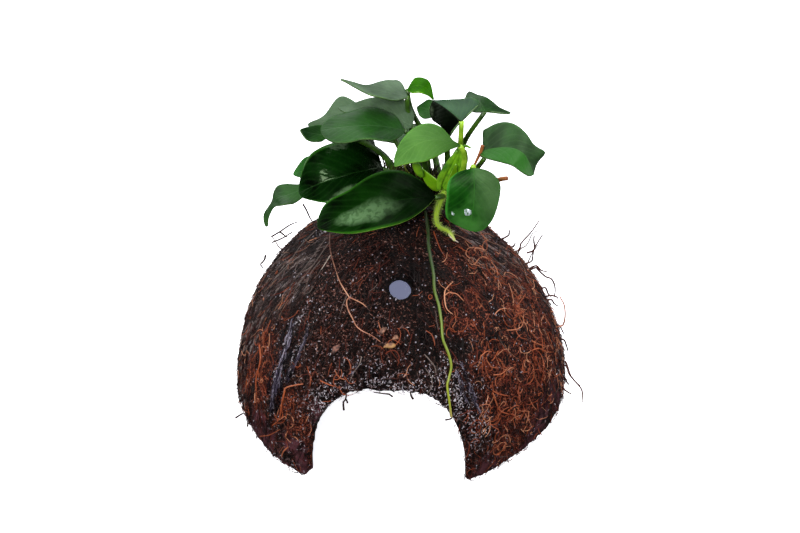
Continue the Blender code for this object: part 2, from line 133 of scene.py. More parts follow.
# Painted shade: the glow dies away to a lavender grey under the back of the shell, where the table lies in
# its shade.
place = add(tree, "TexCoord", output="Object")
away = add(tree, "VectorMath", {0: place, 1: SHADE_MIDDLE}, "Value", operation="DISTANCE")
glow = add(tree, "MapRange", {
    "Value": away, "From Min": SHADE_CORE, "From Max": SHADE_REACH,
    "To Min": SHADE_GLOW, "To Max": FLOOR_GLOW,
}, interpolation_type="SMOOTHSTEP")
tree.links.new(glow, shader.inputs["Emission Strength"])
tint = add(tree, "ValToRGB", {"Fac": glow}, stops=((SHADE_GLOW, "#b2b9e0"), (FLOOR_GLOW, "#fbfbff")))
tree.links.new(tint, shader.inputs["Emission Color"])
floor_mesh = bpy.data.meshes.new("table_top")
corners = [(x * FLOOR_HALF, y * FLOOR_HALF, -FLOOR_DROP) for x, y in ((-1, -1), (1, -1), (1, 1), (-1, 1))]
floor_mesh.from_pydata(corners, [], [(0, 1, 2, 3)])
floor_mesh.materials.append(table_top)
floor = bpy.data.objects.new("table_top", floor_mesh)
bpy.context.scene.collection.objects.link(floor)
floor.visible_glossy = False
floor.visible_diffuse = False

softbox("top_softbox", (0.05, 0.10, 0.75), (0.0, 0.0, 0.05), 0.55, 0.45, 4.8, "#ffffff")
softbox("back_softbox", (-0.10, 0.85, 0.60), (0.0, 0.0, 0.06), 0.9, 0.5, 4.5, "#fbfdff")
softbox("front_softbox", (-0.10, -0.48, 0.46), (0.0, 0.0, 0.03), 0.22, 0.16, 4.0, "#fffdf8")
softbox("left_softbox", (-0.75, 0.22, 0.30), (0.0, 0.0, 0.04), 0.6, 0.5, 4.0, "#ffffff")
softbox("right_softbox", (0.75, 0.22, 0.30), (0.0, 0.0, 0.04), 0.6, 0.5, 4.0, "#ffffff")

room = bpy.data.worlds.new("room")
bpy.context.scene.world = room
room.use_nodes = True
room.node_tree.nodes["Background"].inputs["Color"].default_value = linear("#c9ccd4")
room.node_tree.nodes["Background"].inputs["Strength"].default_value = 0.12

# The half shell
# Half a coconut, sawn across, with its skin of coir soaked dark, a sawn door and a drilled water hole. The
# skin is fine fibres pressed flat, so the solid gets their relief and their wet look.

# The axis of the dome in the frame, the dome's shape, and how many millimetres a radian of latitude is.
AXIS = Vector((-1.2, -2.7, 0.0))
SHELL_RADIUS = 60.0
DOME_HEIGHT = 70.0
DOME_POWER = 1.8
LATITUDE_MM = 65.0
HOLE_CENTRE = Vector((3.35, -24.6, 61.4))
HOLE_RADIUS = 3.75
HOLE_SHADE_RING = 1.1


def in_hole(point, lip):
    """True within this many millimetres of the drilled hole's edge, or in the hole."""
    return (point - HOLE_CENTRE).length < HOLE_RADIUS + lip


VOXEL = 0.85 * MM
FINE_CORD_MM = 1.6
FINE_CORD_LENGTH_MM = 7.0
FINE_CORD_HEIGHT = 0.45
FUZZ_MM = 1.2
FUZZ_HEIGHT = 0.5
BARE_CALM = 0.8
PATCH_WANDER = 0.8
PATCH_WANDER_MM = 8.0
SKIN_START = 0.90
SKIN_FADE = 0.05
SKIN_FACING = 0.5

# Where the husk looks different, each as bearing, latitude and how far round and up it reaches.
RED_PATCHES = ((340, 0.80, 24, 0.3), (322, 0.58, 20, 0.3), (352, 0.42, 24, 0.36), (317, 0.26, 17, 0.24),
               (215, 0.42, 10, 0.22), (240, 0.35, 9, 0.15), (60, 0.5, 40, 0.4), (115, 0.35, 30, 0.3))
GREY_PATCHES = ((188, 0.85, 24, 0.28), (198, 0.45, 9, 0.3), (8, 1.0, 26, 0.2), (28, 0.6, 22, 0.3),
                (2, 0.2, 14, 0.2), (90, 0.95, 40, 0.3), (145, 0.6, 30, 0.4))
WET_PATCHES = ((274, 0.57, 23, 0.16), (250, 0.52, 10, 0.1), (296, 0.55, 12, 0.22), (303, 0.35, 6, 0.15),
               (223, 0.74, 1.8, 0.14), (225, 0.5, 2.2, 0.14), (230.3, 0.64, 1.3, 0.2), (245, 0.5, 6, 0.1),
               (176, 1.08, 3, 0.14))
# The shaded gaps are painted shade: black patches between the cords, among the tufts and on the roof under
# the leaves.
SHADED_GAPS = ((227.6, 0.42, 2.4, 0.3), (219.0, 0.7, 1.8, 0.2), (171, 0.98, 9, 0.14), (322, 0.72, 5, 0.05),
             (337, 0.66, 4, 0.06), (333, 0.88, 5, 0.05), (301, 0.78, 5, 0.08), (214, 0.25, 2, 0.2),
             (290, 1.14, 22, 0.15), (287, 0.86, 8, 0.12), (262, 1.1, 8, 0.1), (331, 0.78, 4, 0.06))
BARE_PATCHES = ((238, 0.08, 12, 0.12), (308, 0.08, 12, 0.13), (222, 0.1, 8, 0.12), (342, 0.12, 20, 0.12),
                (247, 0.22, 3, 0.22))


def patchy(patches, bearing, latitude, wander=0.0):
    """How far inside any of these patches a point is, from 0 to 1. Wander moves their edges."""
    most = 0.0
    for centre, height, across, up in patches:
        off = ((bearing - centre + 180.0) % 360.0 - 180.0) / across + wander
        most = max(most, math.exp(-(off**2) - ((latitude - height) / up - wander) ** 2))
    return most


def finished_mesh(thing):
    """The mesh with its modifiers applied."""
    graph = bpy.context.evaluated_depsgraph_get()
    made = bpy.data.meshes.new_from_object(thing.evaluated_get(graph))
    thing.modifiers.clear()
    thing.data = made
    return made


def show(thing, *replaced, slot):
    """Sets a finished piece riding on the part, in place of these solids; the slot is not used."""
    if thing.name not in bpy.context.scene.objects:
        bpy.context.scene.collection.objects.link(thing)
    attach(thing, "root")
    if replaced:
        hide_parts(*replaced)


shell = bpy.data.objects.new("husked_shell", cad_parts["coconut_shell"].data.copy())
bpy.context.scene.collection.objects.link(shell)
shell.data.materials.clear()
weld = shell.modifiers.new("weld", "WELD")
weld.merge_threshold = 0.01 * MM
voxels = shell.modifiers.new("even_grid", "REMESH")
voxels.mode = "VOXEL"
voxels.voxel_size = VOXEL
relax = shell.modifiers.new("relax", "SMOOTH")
relax.factor = 0.5
relax.iterations = 3
finished_mesh(shell)


def coir_stand(point):
    """How far the fibres lift the skin here, in millimetres: cords that run from pole to rim, and fuzz."""
    angle = math.atan2(point.y, point.x)
    reach = SHELL_RADIUS / FINE_CORD_MM
    along = point.z / FINE_CORD_LENGTH_MM
    cords = noise.noise(Vector((math.cos(angle) * reach, math.sin(angle) * reach, along)))
    return FINE_CORD_HEIGHT * cords + FUZZ_HEIGHT * noise.noise(point / FUZZ_MM)


def dress_shell():
    """Lifts the outer face into coir, and writes down its grain and how red, grey, wet or bare it is, the wet
    share also holding painted shade.
    """
    mesh = shell.data
    count = len(mesh.vertices)
    places = np.empty(count * 3)
    normals = np.empty(count * 3)
    mesh.vertices.foreach_get("co", places)
    mesh.vertex_normals.foreach_get("vector", normals)
    places, normals = places.reshape(-1, 3) / MM - np.array(AXIS), normals.reshape(-1, 3)
    grain = np.zeros((count, 3))
    zones = np.zeros((count, 4))
    outside = np.zeros(count)
    for i, (place, normal) in enumerate(zip(places, normals)):
        point = Vector(place)
        across = math.hypot(point.x, point.y)
        share = (across / SHELL_RADIUS) ** DOME_POWER + (abs(point.z) / DOME_HEIGHT) ** DOME_POWER
        facing = Vector(normal).dot(Vector((point.x, point.y, point.z * 0.7)).normalized())
        outer = min(1.0, max(0.0, (share - SKIN_START) / SKIN_FADE))
        outer *= min(1.0, max(0.0, facing / SKIN_FACING))
        angle = math.atan2(point.y, point.x)
        latitude = math.acos(min(1.0, (across / SHELL_RADIUS) ** (DOME_POWER / 2.0)))
        bearing = math.degrees(angle) % 360.0
        spot = (bearing, latitude, PATCH_WANDER * noise.noise(point / PATCH_WANDER_MM))
        bare = patchy(BARE_PATCHES, *spot)
        # The wet share also holds the painted shade of the shaded gaps.
        wet = max(patchy(WET_PATCHES, *spot), patchy(SHADED_GAPS, *spot))
        # Painted shade: the ring round the drilled hole and its wall count as fully wet, so that they turn
        # black like the hole's shaded wall.
        if in_hole(point, HOLE_SHADE_RING):
            wet = 1.0
        zones[i] = (patchy(RED_PATCHES, *spot), patchy(GREY_PATCHES, *spot), wet, bare)
        outside[i] = outer
        if outer > 0.0:
            places[i] += normal * outer * (1.0 - BARE_CALM * bare) * coir_stand(point)
        down = math.acos(max(-1.0, min(1.0, point.z / DOME_HEIGHT))) * LATITUDE_MM
        grain[i] = (math.cos(angle) * SHELL_RADIUS, math.sin(angle) * SHELL_RADIUS, down)
    places[:, 2] = np.maximum(places[:, 2], 0.0)
    mesh.vertices.foreach_set("co", ((places + np.array(AXIS)) * MM).ravel())
    mesh.attributes.new("grain", "FLOAT_VECTOR", "POINT").data.foreach_set("vector", grain.ravel())
    mesh.attributes.new("zones", "FLOAT_COLOR", "POINT").data.foreach_set("color", zones.ravel())
    mesh.attributes.new("outside", "FLOAT", "POINT").data.foreach_set("value", outside)
    mesh.update()
    mesh.shade_smooth()


dress_shell()

# A fibre of coir is 0.1 to 0.4 mm thick, too fine to show here, so fuzz and cords are drawn coarser.
SKIN_FUZZ_MM = 0.667
SKIN_CORD_MM = 1.11
SKIN_CORD_LENGTH_MM = 6.94
CLUMP_MM = 3.03
GLINT_CELL_MM = 0.909


def scale_of(size):
    """The scale that gives a pattern this grain, in millimetres."""
    return 1.0 / (size * MM)


def wet_coir():
    """Soaked coir: red-brown fibres with black pits of painted shade between them, grey and corded where it
    dries, with painted glints.
    """
    tree, shader, made = new_material("wet_coir", {"Specular IOR Level": 0.12})
    grain = add(tree, "Attribute", output="Vector", attribute_name="grain")
    drawn_out = add(tree, "VectorMath", {0: grain, 1: (1.0, 1.0, SKIN_CORD_MM / SKIN_CORD_LENGTH_MM)},
                    operation="MULTIPLY")
    place = add(tree, "TexCoord", output="Object")
    cords, fuzz, clumps = (
        add(tree, "TexNoise", {"Vector": at, "Scale": scale, "Detail": detail, "Roughness": rough})
        for at, scale, detail, rough in (
            (drawn_out, 1.0 / SKIN_CORD_MM, 5.0, 0.65),
            (place, scale_of(SKIN_FUZZ_MM), 2.0, 0.8),
            (place, scale_of(CLUMP_MM), 4.0, 0.6),
        )
    )
    zones = add(tree, "Attribute", output="Color", attribute_name="zones")
    bare = zones.node.outputs["Alpha"]
    red, grey, wet = add(tree, "SeparateColor", {"Color": zones}).node.outputs
    skin, rust, dusty, smooth = (
        add(tree, "ValToRGB", {"Fac": pattern}, stops=stops)
        for pattern, *stops in (
            (fuzz, (0.45, "#020101"), (0.52, "#0a0403"), (0.57, "#30130f"), (0.62, "#703c30"),
             (0.68, "#b8988e")),
            (fuzz, (0.44, "#050202"), (0.50, "#2c0e0b"), (0.55, "#6c2c20"), (0.62, "#b86c52")),
            (cords, (0.43, "#050303"), (0.49, "#1f1313"), (0.55, "#4c3c3a"), (0.64, "#a09290")),
            (clumps, (0.35, "#301a20"), (0.65, "#6a3e46")),
        )
    )
    uneven = add(tree, "Math", {0: clumps, 1: -0.5}, operation="ADD")
    layers = []
    zoned = ((red, 0.18, 0.62, rust), (grey, 0.22, 0.62, dusty), (bare, 0.25, 0.6, smooth))
    for share, low, high, colour in zoned:
        there = add(tree, "Math", {0: share, 1: uneven}, operation="ADD")
        step = add(tree, "MapRange", {"Value": there, "From Min": low, "From Max": high})
        layers.append((step, colour))
    # Painted shade: the colour turns black in the pits between the clumps of fibre.
    pit_shade = add(tree, "MapRange", {"Value": clumps, "From Min": 0.48, "From Max": 0.38, "To Max": 0.85})
    # The wet share darkens to black: soaked coir, and the painted shade of the shaded gaps and the hole ring.
    soaked_and_shaded = add(tree, "MapRange", {"Value": wet, "To Max": 0.88})
    # Painted glints: pale dots in the colour where beads of water on the fibre tips would mirror the lamps,
    # one in a few of these cells, more where the husk is wet.
    glint_cell = add(tree, "TexVoronoi", {"Vector": place, "Scale": scale_of(GLINT_CELL_MM)})
    luck = add(tree, "SeparateColor", {"Color": glint_cell.node.outputs["Color"]})
    wetter = add(tree, "Math", {0: wet, 1: 0.2, 2: luck}, operation="MULTIPLY_ADD")
    chosen = add(tree, "Math", {0: wetter, 1: 0.94}, operation="GREATER_THAN")
    dot = add(tree, "MapRange", {"Value": glint_cell, "From Min": 0.34, "From Max": 0.18, "To Max": 0.9})
    glint = add(tree, "Math", {0: dot, 1: chosen}, operation="MULTIPLY")
    layers += [(pit_shade, linear("#070304")), (soaked_and_shaded, linear("#050304")), (glint, linear("#d0cadb"))]
    for share, colour in layers:
        skin = add(tree, "Mix", {"Factor": share, "A": skin, "B": colour}, "Result", data_type="RGBA")
    tree.links.new(skin, shader.inputs["Base Color"])
    height = add(tree, "Math", {0: cords, 1: fuzz}, operation="ADD")
    bump = add(tree, "Bump", {"Height": height, "Strength": 1.0, "Distance": 1.2 * MM})
    tree.links.new(bump, shader.inputs["Normal"])
    damp = add(tree, "MapRange", {"Value": wet, "To Min": 0.5, "To Max": 0.25})
    tree.links.new(damp, shader.inputs["Roughness"])
    return made


shell.data.materials.append(wet_coir())
show(shell, "coconut_shell", slot="coir_brown")

# The coir
# The fibres that the knife left on. Most lie flat in the grain, dark with water. On the right and down the
# legs they are scuffed up into red brown curls, and the dry ends of some have sprung out of the husk.

# The ridges and lumps of the shell's solid, worked out again so that the fibres lie on it.
RIDGE_SHARE = 0.018
RIDGE_BEARING = 242.0
LUMP_HEIGHT = 0.9
LUMPS_AROUND = 2.6
LUMPS_UP = 2.2
CORD_HEIGHT = 0.45
CORDS_AROUND = 13.0
CORDS_UP = 3.0
CALM_RIM = 0.25


def shell_relief(bearing, latitude):
    """How far lumps and cords of coir stand out of the smooth dome here, in millimetres."""
    angle = math.radians(bearing)
    around = Vector((math.cos(angle), math.sin(angle), 0.0))
    lumps = noise.noise(around * LUMPS_AROUND + Vector((0.0, 0.0, latitude * LUMPS_UP)))
    cords = noise.noise(around * CORDS_AROUND + Vector((0.0, 0.0, latitude * CORDS_UP)))
    calm_at_pole = math.cos(latitude) ** 0.5
    calm_at_rim = min(1.0, latitude / CALM_RIM)
    return (LUMP_HEIGHT * lumps + CORD_HEIGHT * cords * calm_at_rim) * calm_at_pole


def shell_ridges(bearing):
    """The three soft ridges that run from pole to rim, as a share of the radius."""
    return 1.0 + RIDGE_SHARE * math.cos(math.radians(3.0 * (bearing - RIDGE_BEARING)))


def shell_point(bearing, latitude, lift=0.0):
    """A point of the shell's outer face, in millimetres. Latitude is 0 at the rim and pi / 2 at the pole."""
    power = 2.0 / DOME_POWER
    radius = SHELL_RADIUS * math.cos(latitude) ** power
    height = DOME_HEIGHT * math.sin(latitude) ** power
    outwards = Vector((math.cos(latitude) / SHELL_RADIUS, 0.0, math.sin(latitude) / DOME_HEIGHT)).normalized()
    stand = shell_relief(bearing, latitude) + lift
    flat = Vector((radius * shell_ridges(bearing), 0.0, height)) + outwards * stand
    return Matrix.Rotation(math.radians(bearing), 3, "Z") @ flat


FIBRE_SIDES = 3
FIBRE_TAPER = 0.4
# A direction that hardly any fibre takes, so that each has a side to turn its corners from.
NO_FIBRES_WAY = Vector((0.31, 0.17, 0.93))


def fibre_mesh(name, fibres, material, slot="coir_brown"):
    """Thin three-sided fibres, each a path, a radius and a tone, joined as one piece."""
    points, faces, tones = [], [], []
    for path, radius, tone in fibres:
        last = len(path) - 1
        for i, at in enumerate(path):
            ahead = (path[min(i + 1, last)] - path[max(i - 1, 0)]).normalized()
            side = ahead.cross(NO_FIBRES_WAY).normalized()
            up = side.cross(ahead)
            thick = radius * (1.0 - FIBRE_TAPER * (i / last) ** 2)
            for k in range(FIBRE_SIDES):
                turn = 2.0 * math.pi * k / FIBRE_SIDES
                points.append((at + side * math.cos(turn) * thick + up * math.sin(turn) * thick + AXIS) * MM)
                tones.append(tone)
            if i:
                ring = len(points) - FIBRE_SIDES
                for k in range(FIBRE_SIDES):
                    n = (k + 1) % FIBRE_SIDES
                    faces.append((ring - FIBRE_SIDES + k, ring - FIBRE_SIDES + n, ring + n, ring + k))
        faces.append(tuple(range(len(points) - FIBRE_SIDES, len(points))))
    mesh = bpy.data.meshes.new(name)
    mesh.from_pydata(points, [], faces)
    mesh.attributes.new("tone", "FLOAT", "POINT").data.foreach_set("value", tones)
    mesh.materials.append(material)
    mesh.shade_smooth()
    show(bpy.data.objects.new(name, mesh), slot=slot)


HOLE_LIP = 0.6
DOOR_FRONT = -20.0
DOOR_HALF_WIDTH = 27.0
DOOR_HEIGHT = 37.2
DOOR_POWER = 2.55
DOOR_MIDDLE_X = 0.6
NEAR_POLE = 1.5
NEAR_RIM = 0.01
LEAST_RING = 8.0
DOOR_MARGIN = 0.4


def in_door(point, margin):
    """True where the arch is open, drawn in by this margin."""
    across = abs(point.x - DOOR_MIDDLE_X) / (DOOR_HALF_WIDTH - margin)
    up = max(0.0, point.z) / (DOOR_HEIGHT - margin)
    return point.y < DOOR_FRONT and across**DOOR_POWER + up**DOOR_POWER < 1.0


def fibre_path(bearing, latitude, heading, length, rise, bend, jitter, steps):
    """A fibre that wanders over the shell, turning by bend a millimetre and rising by rise at its end."""
    path = []
    stride = length / steps
    low = 0.1 + dice.uniform(0.0, 0.25)
    for i in range(steps + 1):
        share = i / steps
        point = shell_point(bearing, latitude, low + rise * share * share)
        if in_hole(point, HOLE_LIP) or in_door(point, DOOR_MARGIN):
            return path
        path.append(point)
        heading += bend * stride + dice.gauss(0.0, jitter)
        ring = max(LEAST_RING, SHELL_RADIUS * math.cos(latitude))
        bearing += math.degrees(math.sin(heading) * stride / ring)
        latitude = min(NEAR_POLE, max(NEAR_RIM, latitude - math.cos(heading) * stride / LATITUDE_MM))
    return path


def fibre_skin(name, *stops, roughness=0.42):
    """Coir, a coarse lignin fibre. Each keeps its own tone, from soaked black to the pale of a dry end."""
    tree, shader, made = new_material(name, {"Roughness": roughness, "Specular IOR Level": 0.2})
    tone = add(tree, "Attribute", output="Fac", attribute_name="tone")
    skin = add(tree, "ValToRGB", {"Fac": tone}, stops=stops)
    tree.links.new(skin, shader.inputs["Base Color"])
    return made


def scatter(count, wanted):
    """Places spread evenly over the shell, kept as often as wanted says for that bearing and latitude."""
    for _ in range(count):
        bearing = dice.uniform(0.0, 360.0)
        latitude = math.asin(dice.uniform(0.01, 0.985))
        if dice.random() < wanted(bearing, latitude):
            yield bearing, latitude


# How many places are tried for each kind of fibre.
FLAT_TRIES = 6000
CURLED_TRIES = 9000
SHINING_TRIES = 46000
SPRUNG_TRIES = 700
dice = random.Random(4)
# Its tones run from soaked black through red brown to a dry tip, and on through the greys of weathered coir.
coir_fibre = fibre_skin("coir_fibre", (0.0, "#0a0505"), (0.3, "#2b110e"), (0.5, "#64281b"), (0.66, "#a65636"),
                        (0.76, "#d09272"), (0.82, "#5a4c48"), (0.9, "#857873"), (1.0, "#dccdc0"))


def toned(bearing, latitude):
    """The tone of a fibre that grows here: greyer on the flanks, redder on the right, black with water, and
    black as painted shade in the shaded gaps.
    """
    red, grey = patchy(RED_PATCHES, bearing, latitude), patchy(GREY_PATCHES, bearing, latitude)
    draw = dice.random()
    if draw < patchy(WET_PATCHES + SHADED_GAPS, bearing, latitude):
        return 0.06 * draw
    if draw < grey * 0.7:
        return dice.choice((0.02, 0.15, 0.3, 0.8, 0.82, 0.85, 0.9))
    if draw < grey * 0.7 + red * 0.55:
        return min(0.72, max(0.08, dice.gauss(0.46, 0.15)))
    return dice.triangular(0.0, 0.6, 0.0)


def off_bare_husk(bearing, latitude):
    """How often flat fibres grow here: everywhere but where the husk is worn smooth."""
    return 1.0 - 0.7 * patchy(BARE_PATCHES, bearing, latitude)


def where_scuffed(bearing, latitude):
    """How often curls stand here: where the husk is scuffed red, and not in its gaps of painted shade."""
    scuffed = patchy(RED_PATCHES, bearing, latitude) ** 1.2 * 0.7 + 0.05
    return scuffed * (1.0 - patchy(SHADED_GAPS, bearing, latitude))


fibres = []
for bearing, latitude in scatter(FLAT_TRIES, off_bare_husk):
    path = fibre_path(bearing, latitude, dice.gauss(0.0, 0.35), dice.uniform(2.5, 8.0),
                      dice.choice((0.0, 0.6)), dice.gauss(0.0, 0.08), 0.15, 5)
    if len(path) > 3:
        fibres.append((path, dice.uniform(0.08, 0.17), toned(bearing, latitude)))
fibre_mesh("flat_coir", fibres, coir_fibre)

fibres = []
for bearing, latitude in scatter(CURLED_TRIES, where_scuffed):
    path = fibre_path(bearing, latitude, dice.uniform(0.0, 6.3), dice.uniform(2.0, 6.0),
                      dice.uniform(0.2, 1.4), dice.gauss(0.0, 0.55), 0.35, 7)
    if len(path) > 4:
        tone = min(0.76, max(0.02, dice.gauss(0.38, 0.27)))
        fibres.append((path, dice.uniform(0.07, 0.17), tone))
fibre_mesh("curled_coir", fibres, coir_fibre)

# Tufts torn up where the knife slipped, each as bearing, latitude, how many fibres and how wide.
TUFTS = ((343, 0.75, 16, 3.5), (345, 1.05, 8, 4), (311, 0.99, 5, 3), (315, 0.67, 8, 3), (321, 0.61, 7, 3),
         (340, 0.52, 9, 3.5), (318, 0.57, 5, 3), (316, 0.34, 10, 5), (336, 0.69, 7, 4), (321, 0.34, 5, 2),
         (310, 0.15, 8, 3), (306, 0.37, 7, 4), (300, 0.32, 6, 3), (212, 0.51, 10, 5), (218, 0.40, 10, 5),
         (234, 0.34, 8, 5), (254, 0.63, 5, 3), (357, 1.06, 8, 5), (347, 0.89, 8, 6), (328, 0.43, 8, 6),
         (352, 0.56, 8, 4), (341, 0.37, 8, 5), (270, 0.79, 4, 3), (305, 0.84, 6, 4))
fibres = []
for bearing, latitude, count, reach in TUFTS:
    for _ in range(count):
        around, up = dice.gauss(0.0, reach * 0.4), dice.gauss(0.0, reach * 0.4)
        path = fibre_path(bearing + math.degrees(around / (SHELL_RADIUS * math.cos(latitude))),
                          latitude + up / LATITUDE_MM, dice.uniform(0.0, 6.3), dice.uniform(4.0, 9.0),
                          dice.uniform(0.6, 1.8), dice.choice((-1.0, 1.0)) * dice.uniform(0.15, 0.6), 0.2, 10)
        if len(path) > 5:
            fibres.append((path, dice.uniform(0.11, 0.21), min(0.74, max(0.4, dice.gauss(0.59, 0.09)))))
fibre_mesh("torn_tufts", fibres, coir_fibre)


def wet_here(bearing, latitude):
    """How often a fibre's end gets a painted glint here: mostly above the door, at times in front, seldom
    elsewhere.
    """
    front = 0.3 if 228.0 < bearing < 268.0 else 0.15 if 230.0 < bearing < 302.0 else 0.05
    wet = max(0.0, patchy(WET_PATCHES, bearing, latitude) - patchy(SHADED_GAPS, bearing, latitude))
    return wet + front * min(1.0, max(0.1, 1.75 - 1.4 * latitude))


fibres = []
for bearing, latitude in scatter(SHINING_TRIES, wet_here):
    path = fibre_path(bearing, latitude, dice.uniform(0.0, 6.3), dice.uniform(0.25, 0.9), 0.25,
                      dice.gauss(0.0, 0.9), 0.3, 2)
    if len(path) > 2:
        wet = patchy(WET_PATCHES, bearing, latitude)
        fibres.append((path, dice.uniform(0.06, 0.14 + 0.04 * wet), dice.random() ** (1.9 - 1.5 * wet)))
# Painted glints: the ends of fibres coloured as pale as the light that a film of water on them would mirror.
painted_glint_skin = fibre_skin("water_film_on_coir", (0.0, "#3a2320"), (0.4, "#7a6463"), (0.75, "#b4abb8"),
                        (1.0, "#f4f0fa"))
fibre_mesh("shining_ends", fibres, painted_glint_skin)


def fewer_behind(bearing, latitude):
    """How often the end of a fibre springs up here, at any latitude."""
    return 0.35 if 60.0 <= bearing <= 150.0 else 0.5


fibres = []
for bearing, latitude in scatter(SPRUNG_TRIES, fewer_behind):
    path = fibre_path(bearing, latitude, dice.gauss(0.0, 0.9), dice.uniform(2.0, 7.0),
                      dice.uniform(0.8, 2.6), dice.gauss(0.0, 0.12), 0.16, 8)
    if len(path) > 5:
        fibres.append((path, dice.uniform(0.08, 0.17), dice.choice((0.1, 0.35, 0.5, 0.62, 0.83))))

# Fibres that stand out one by one, each as tone, radius, and the bearings and latitudes it runs through.
CURLS = (
    (0.76, 0.22, (316.1, 1.051), (309.2, 1.033), (306.4, 1.011), (304.5, 0.970), (304.2, 0.938),
     (306.2, 0.906)),
    (0.72, 0.2, (306.5, 1.006), (309.5, 1.011), (311.9, 1.001), (314.0, 0.987), (315.1, 0.960),
     (315.8, 0.940)),
    (0.72, 0.17, (327.8, 0.804), (330.5, 0.808), (333.5, 0.801), (336.6, 0.778), (339.4, 0.749)),
    (0.8, 0.16, (338.7, 1.088), (341.9, 1.087), (342.8, 1.070), (339.8, 1.065), (337.0, 1.073)),
    (0.72, 0.18, (339.9, 1.051), (344.5, 1.049), (347.8, 1.046), (351.7, 1.029), (352.8, 1.005),
     (352.2, 0.991)),
    (0.70, 0.17, (329.3, 0.706), (332.9, 0.682), (336.7, 0.666), (340.2, 0.673), (341.2, 0.701),
     (339.2, 0.739)),
    (0.64, 0.25, (312.0, 0.483), (312.5, 0.430), (313.1, 0.383), (315.0, 0.350), (318.9, 0.305),
     (321.9, 0.251)),
    (0.64, 0.22, (312.2, 0.492), (314.6, 0.458), (317.9, 0.427)),
    (0.68, 0.2, (311.6, 0.670), (315.0, 0.679), (317.4, 0.665)),
    (0.66, 0.2, (320.5, 0.651), (317.7, 0.633), (315.8, 0.627)),
    (0.68, 0.24, (338.1, 0.574), (340.7, 0.530), (343.9, 0.484)),
    (0.66, 0.24, (335.6, 0.538), (340.1, 0.507), (344.1, 0.444), (349.5, 0.378)),
    (0.68, 0.2, (314.6, 0.561), (317.6, 0.546), (321.1, 0.549)),
    (0.68, 0.3, (231.9, 0.454), (232.2, 0.480), (235.7, 0.519), (238.6, 0.543)),
    (0.66, 0.28, (232.1, 0.465), (232.2, 0.397), (232.5, 0.330), (231.7, 0.283), (230.0, 0.242)),
    (0.66, 0.2, (244.9, 0.593), (247.7, 0.590), (251.0, 0.590)),
    (0.68, 0.2, (236.8, 0.273), (236.1, 0.219)),
    (0.68, 0.25, (237.7, 0.177), (235.6, 0.118), (235.2, 0.076)),
    (0.66, 0.2, (223.6, 0.083), (229.0, 0.167), (233.2, 0.247)),
    (0.9, 0.14, (259.6, 0.754), (259.3, 0.716), (257.6, 0.678), (256.3, 0.614)),
    (0.9, 0.15, (287.1, 0.761), (290.7, 0.700), (290.7, 0.667)),
    (0.88, 0.14, (286.8, 0.695), (288.7, 0.654), (288.7, 0.609), (286.2, 0.579)),
    (0.6, 0.18, (345.0, 1.327), (328.7, 1.243), (324.9, 1.182)),
    (0.84, 0.15, (188.0, 1.108), (199.3, 0.995), (202.9, 0.877)),
    (0.84, 0.16, (194.6, 1.126), (204.0, 1.033), (207.8, 0.953), (209.6, 0.855)),
    (0.84, 0.15, (207.2, 1.053), (210.6, 0.972), (217.6, 0.889)),
    (0.84, 0.15, (169.9, 1.022), (179.6, 0.915), (190.3, 0.803)),
    (0.62, 0.28, (209.9, 0.523), (214.2, 0.473), (216.0, 0.372), (218.5, 0.306)),
    (1.0, 0.24, (348.9, 1.218), (352.7, 1.243), (357.0, 1.238), (361.8, 1.219)),
    (1.0, 0.22, (348.9, 1.218), (348.8, 1.181)),
    (0.95, 0.16, (210.1, 1.113), (212.2, 1.086), (213.7, 1.059), (214.7, 1.034)),
)


def curve_at(points, share):
    """The point, or number, this share of the way along a smooth curve through all of these."""
    place = share * (len(points) - 1)
    k = min(int(place), len(points) - 2)
    f = place - k
    before, start = points[max(k - 1, 0)], points[k]
    end, beyond = points[k + 1], points[min(k + 2, len(points) - 1)]
    bow = (end - before) * f + (2.0 * before - 5.0 * start + 4.0 * end - beyond) * f * f
    return 0.5 * (2.0 * start + bow + (3.0 * start - before - 3.0 * end + beyond) * f**3)


def smooth_route(stops, count):
    """The stops joined by one smooth curve, as this many points at even steps."""
    knots = [Vector(stop) for stop in stops]
    return [curve_at(knots, i / (count - 1)) for i in range(count)]


CURL_LIFT = 0.7
CURL_SWELL = 1.15
STEPS_PER_STOP = 5
for tone, radius, *stops in CURLS:
    knots = [shell_point(bearing, latitude, CURL_LIFT) for bearing, latitude in stops]
    fibres.append((smooth_route(knots, STEPS_PER_STOP * len(knots)), radius * CURL_SWELL, tone))

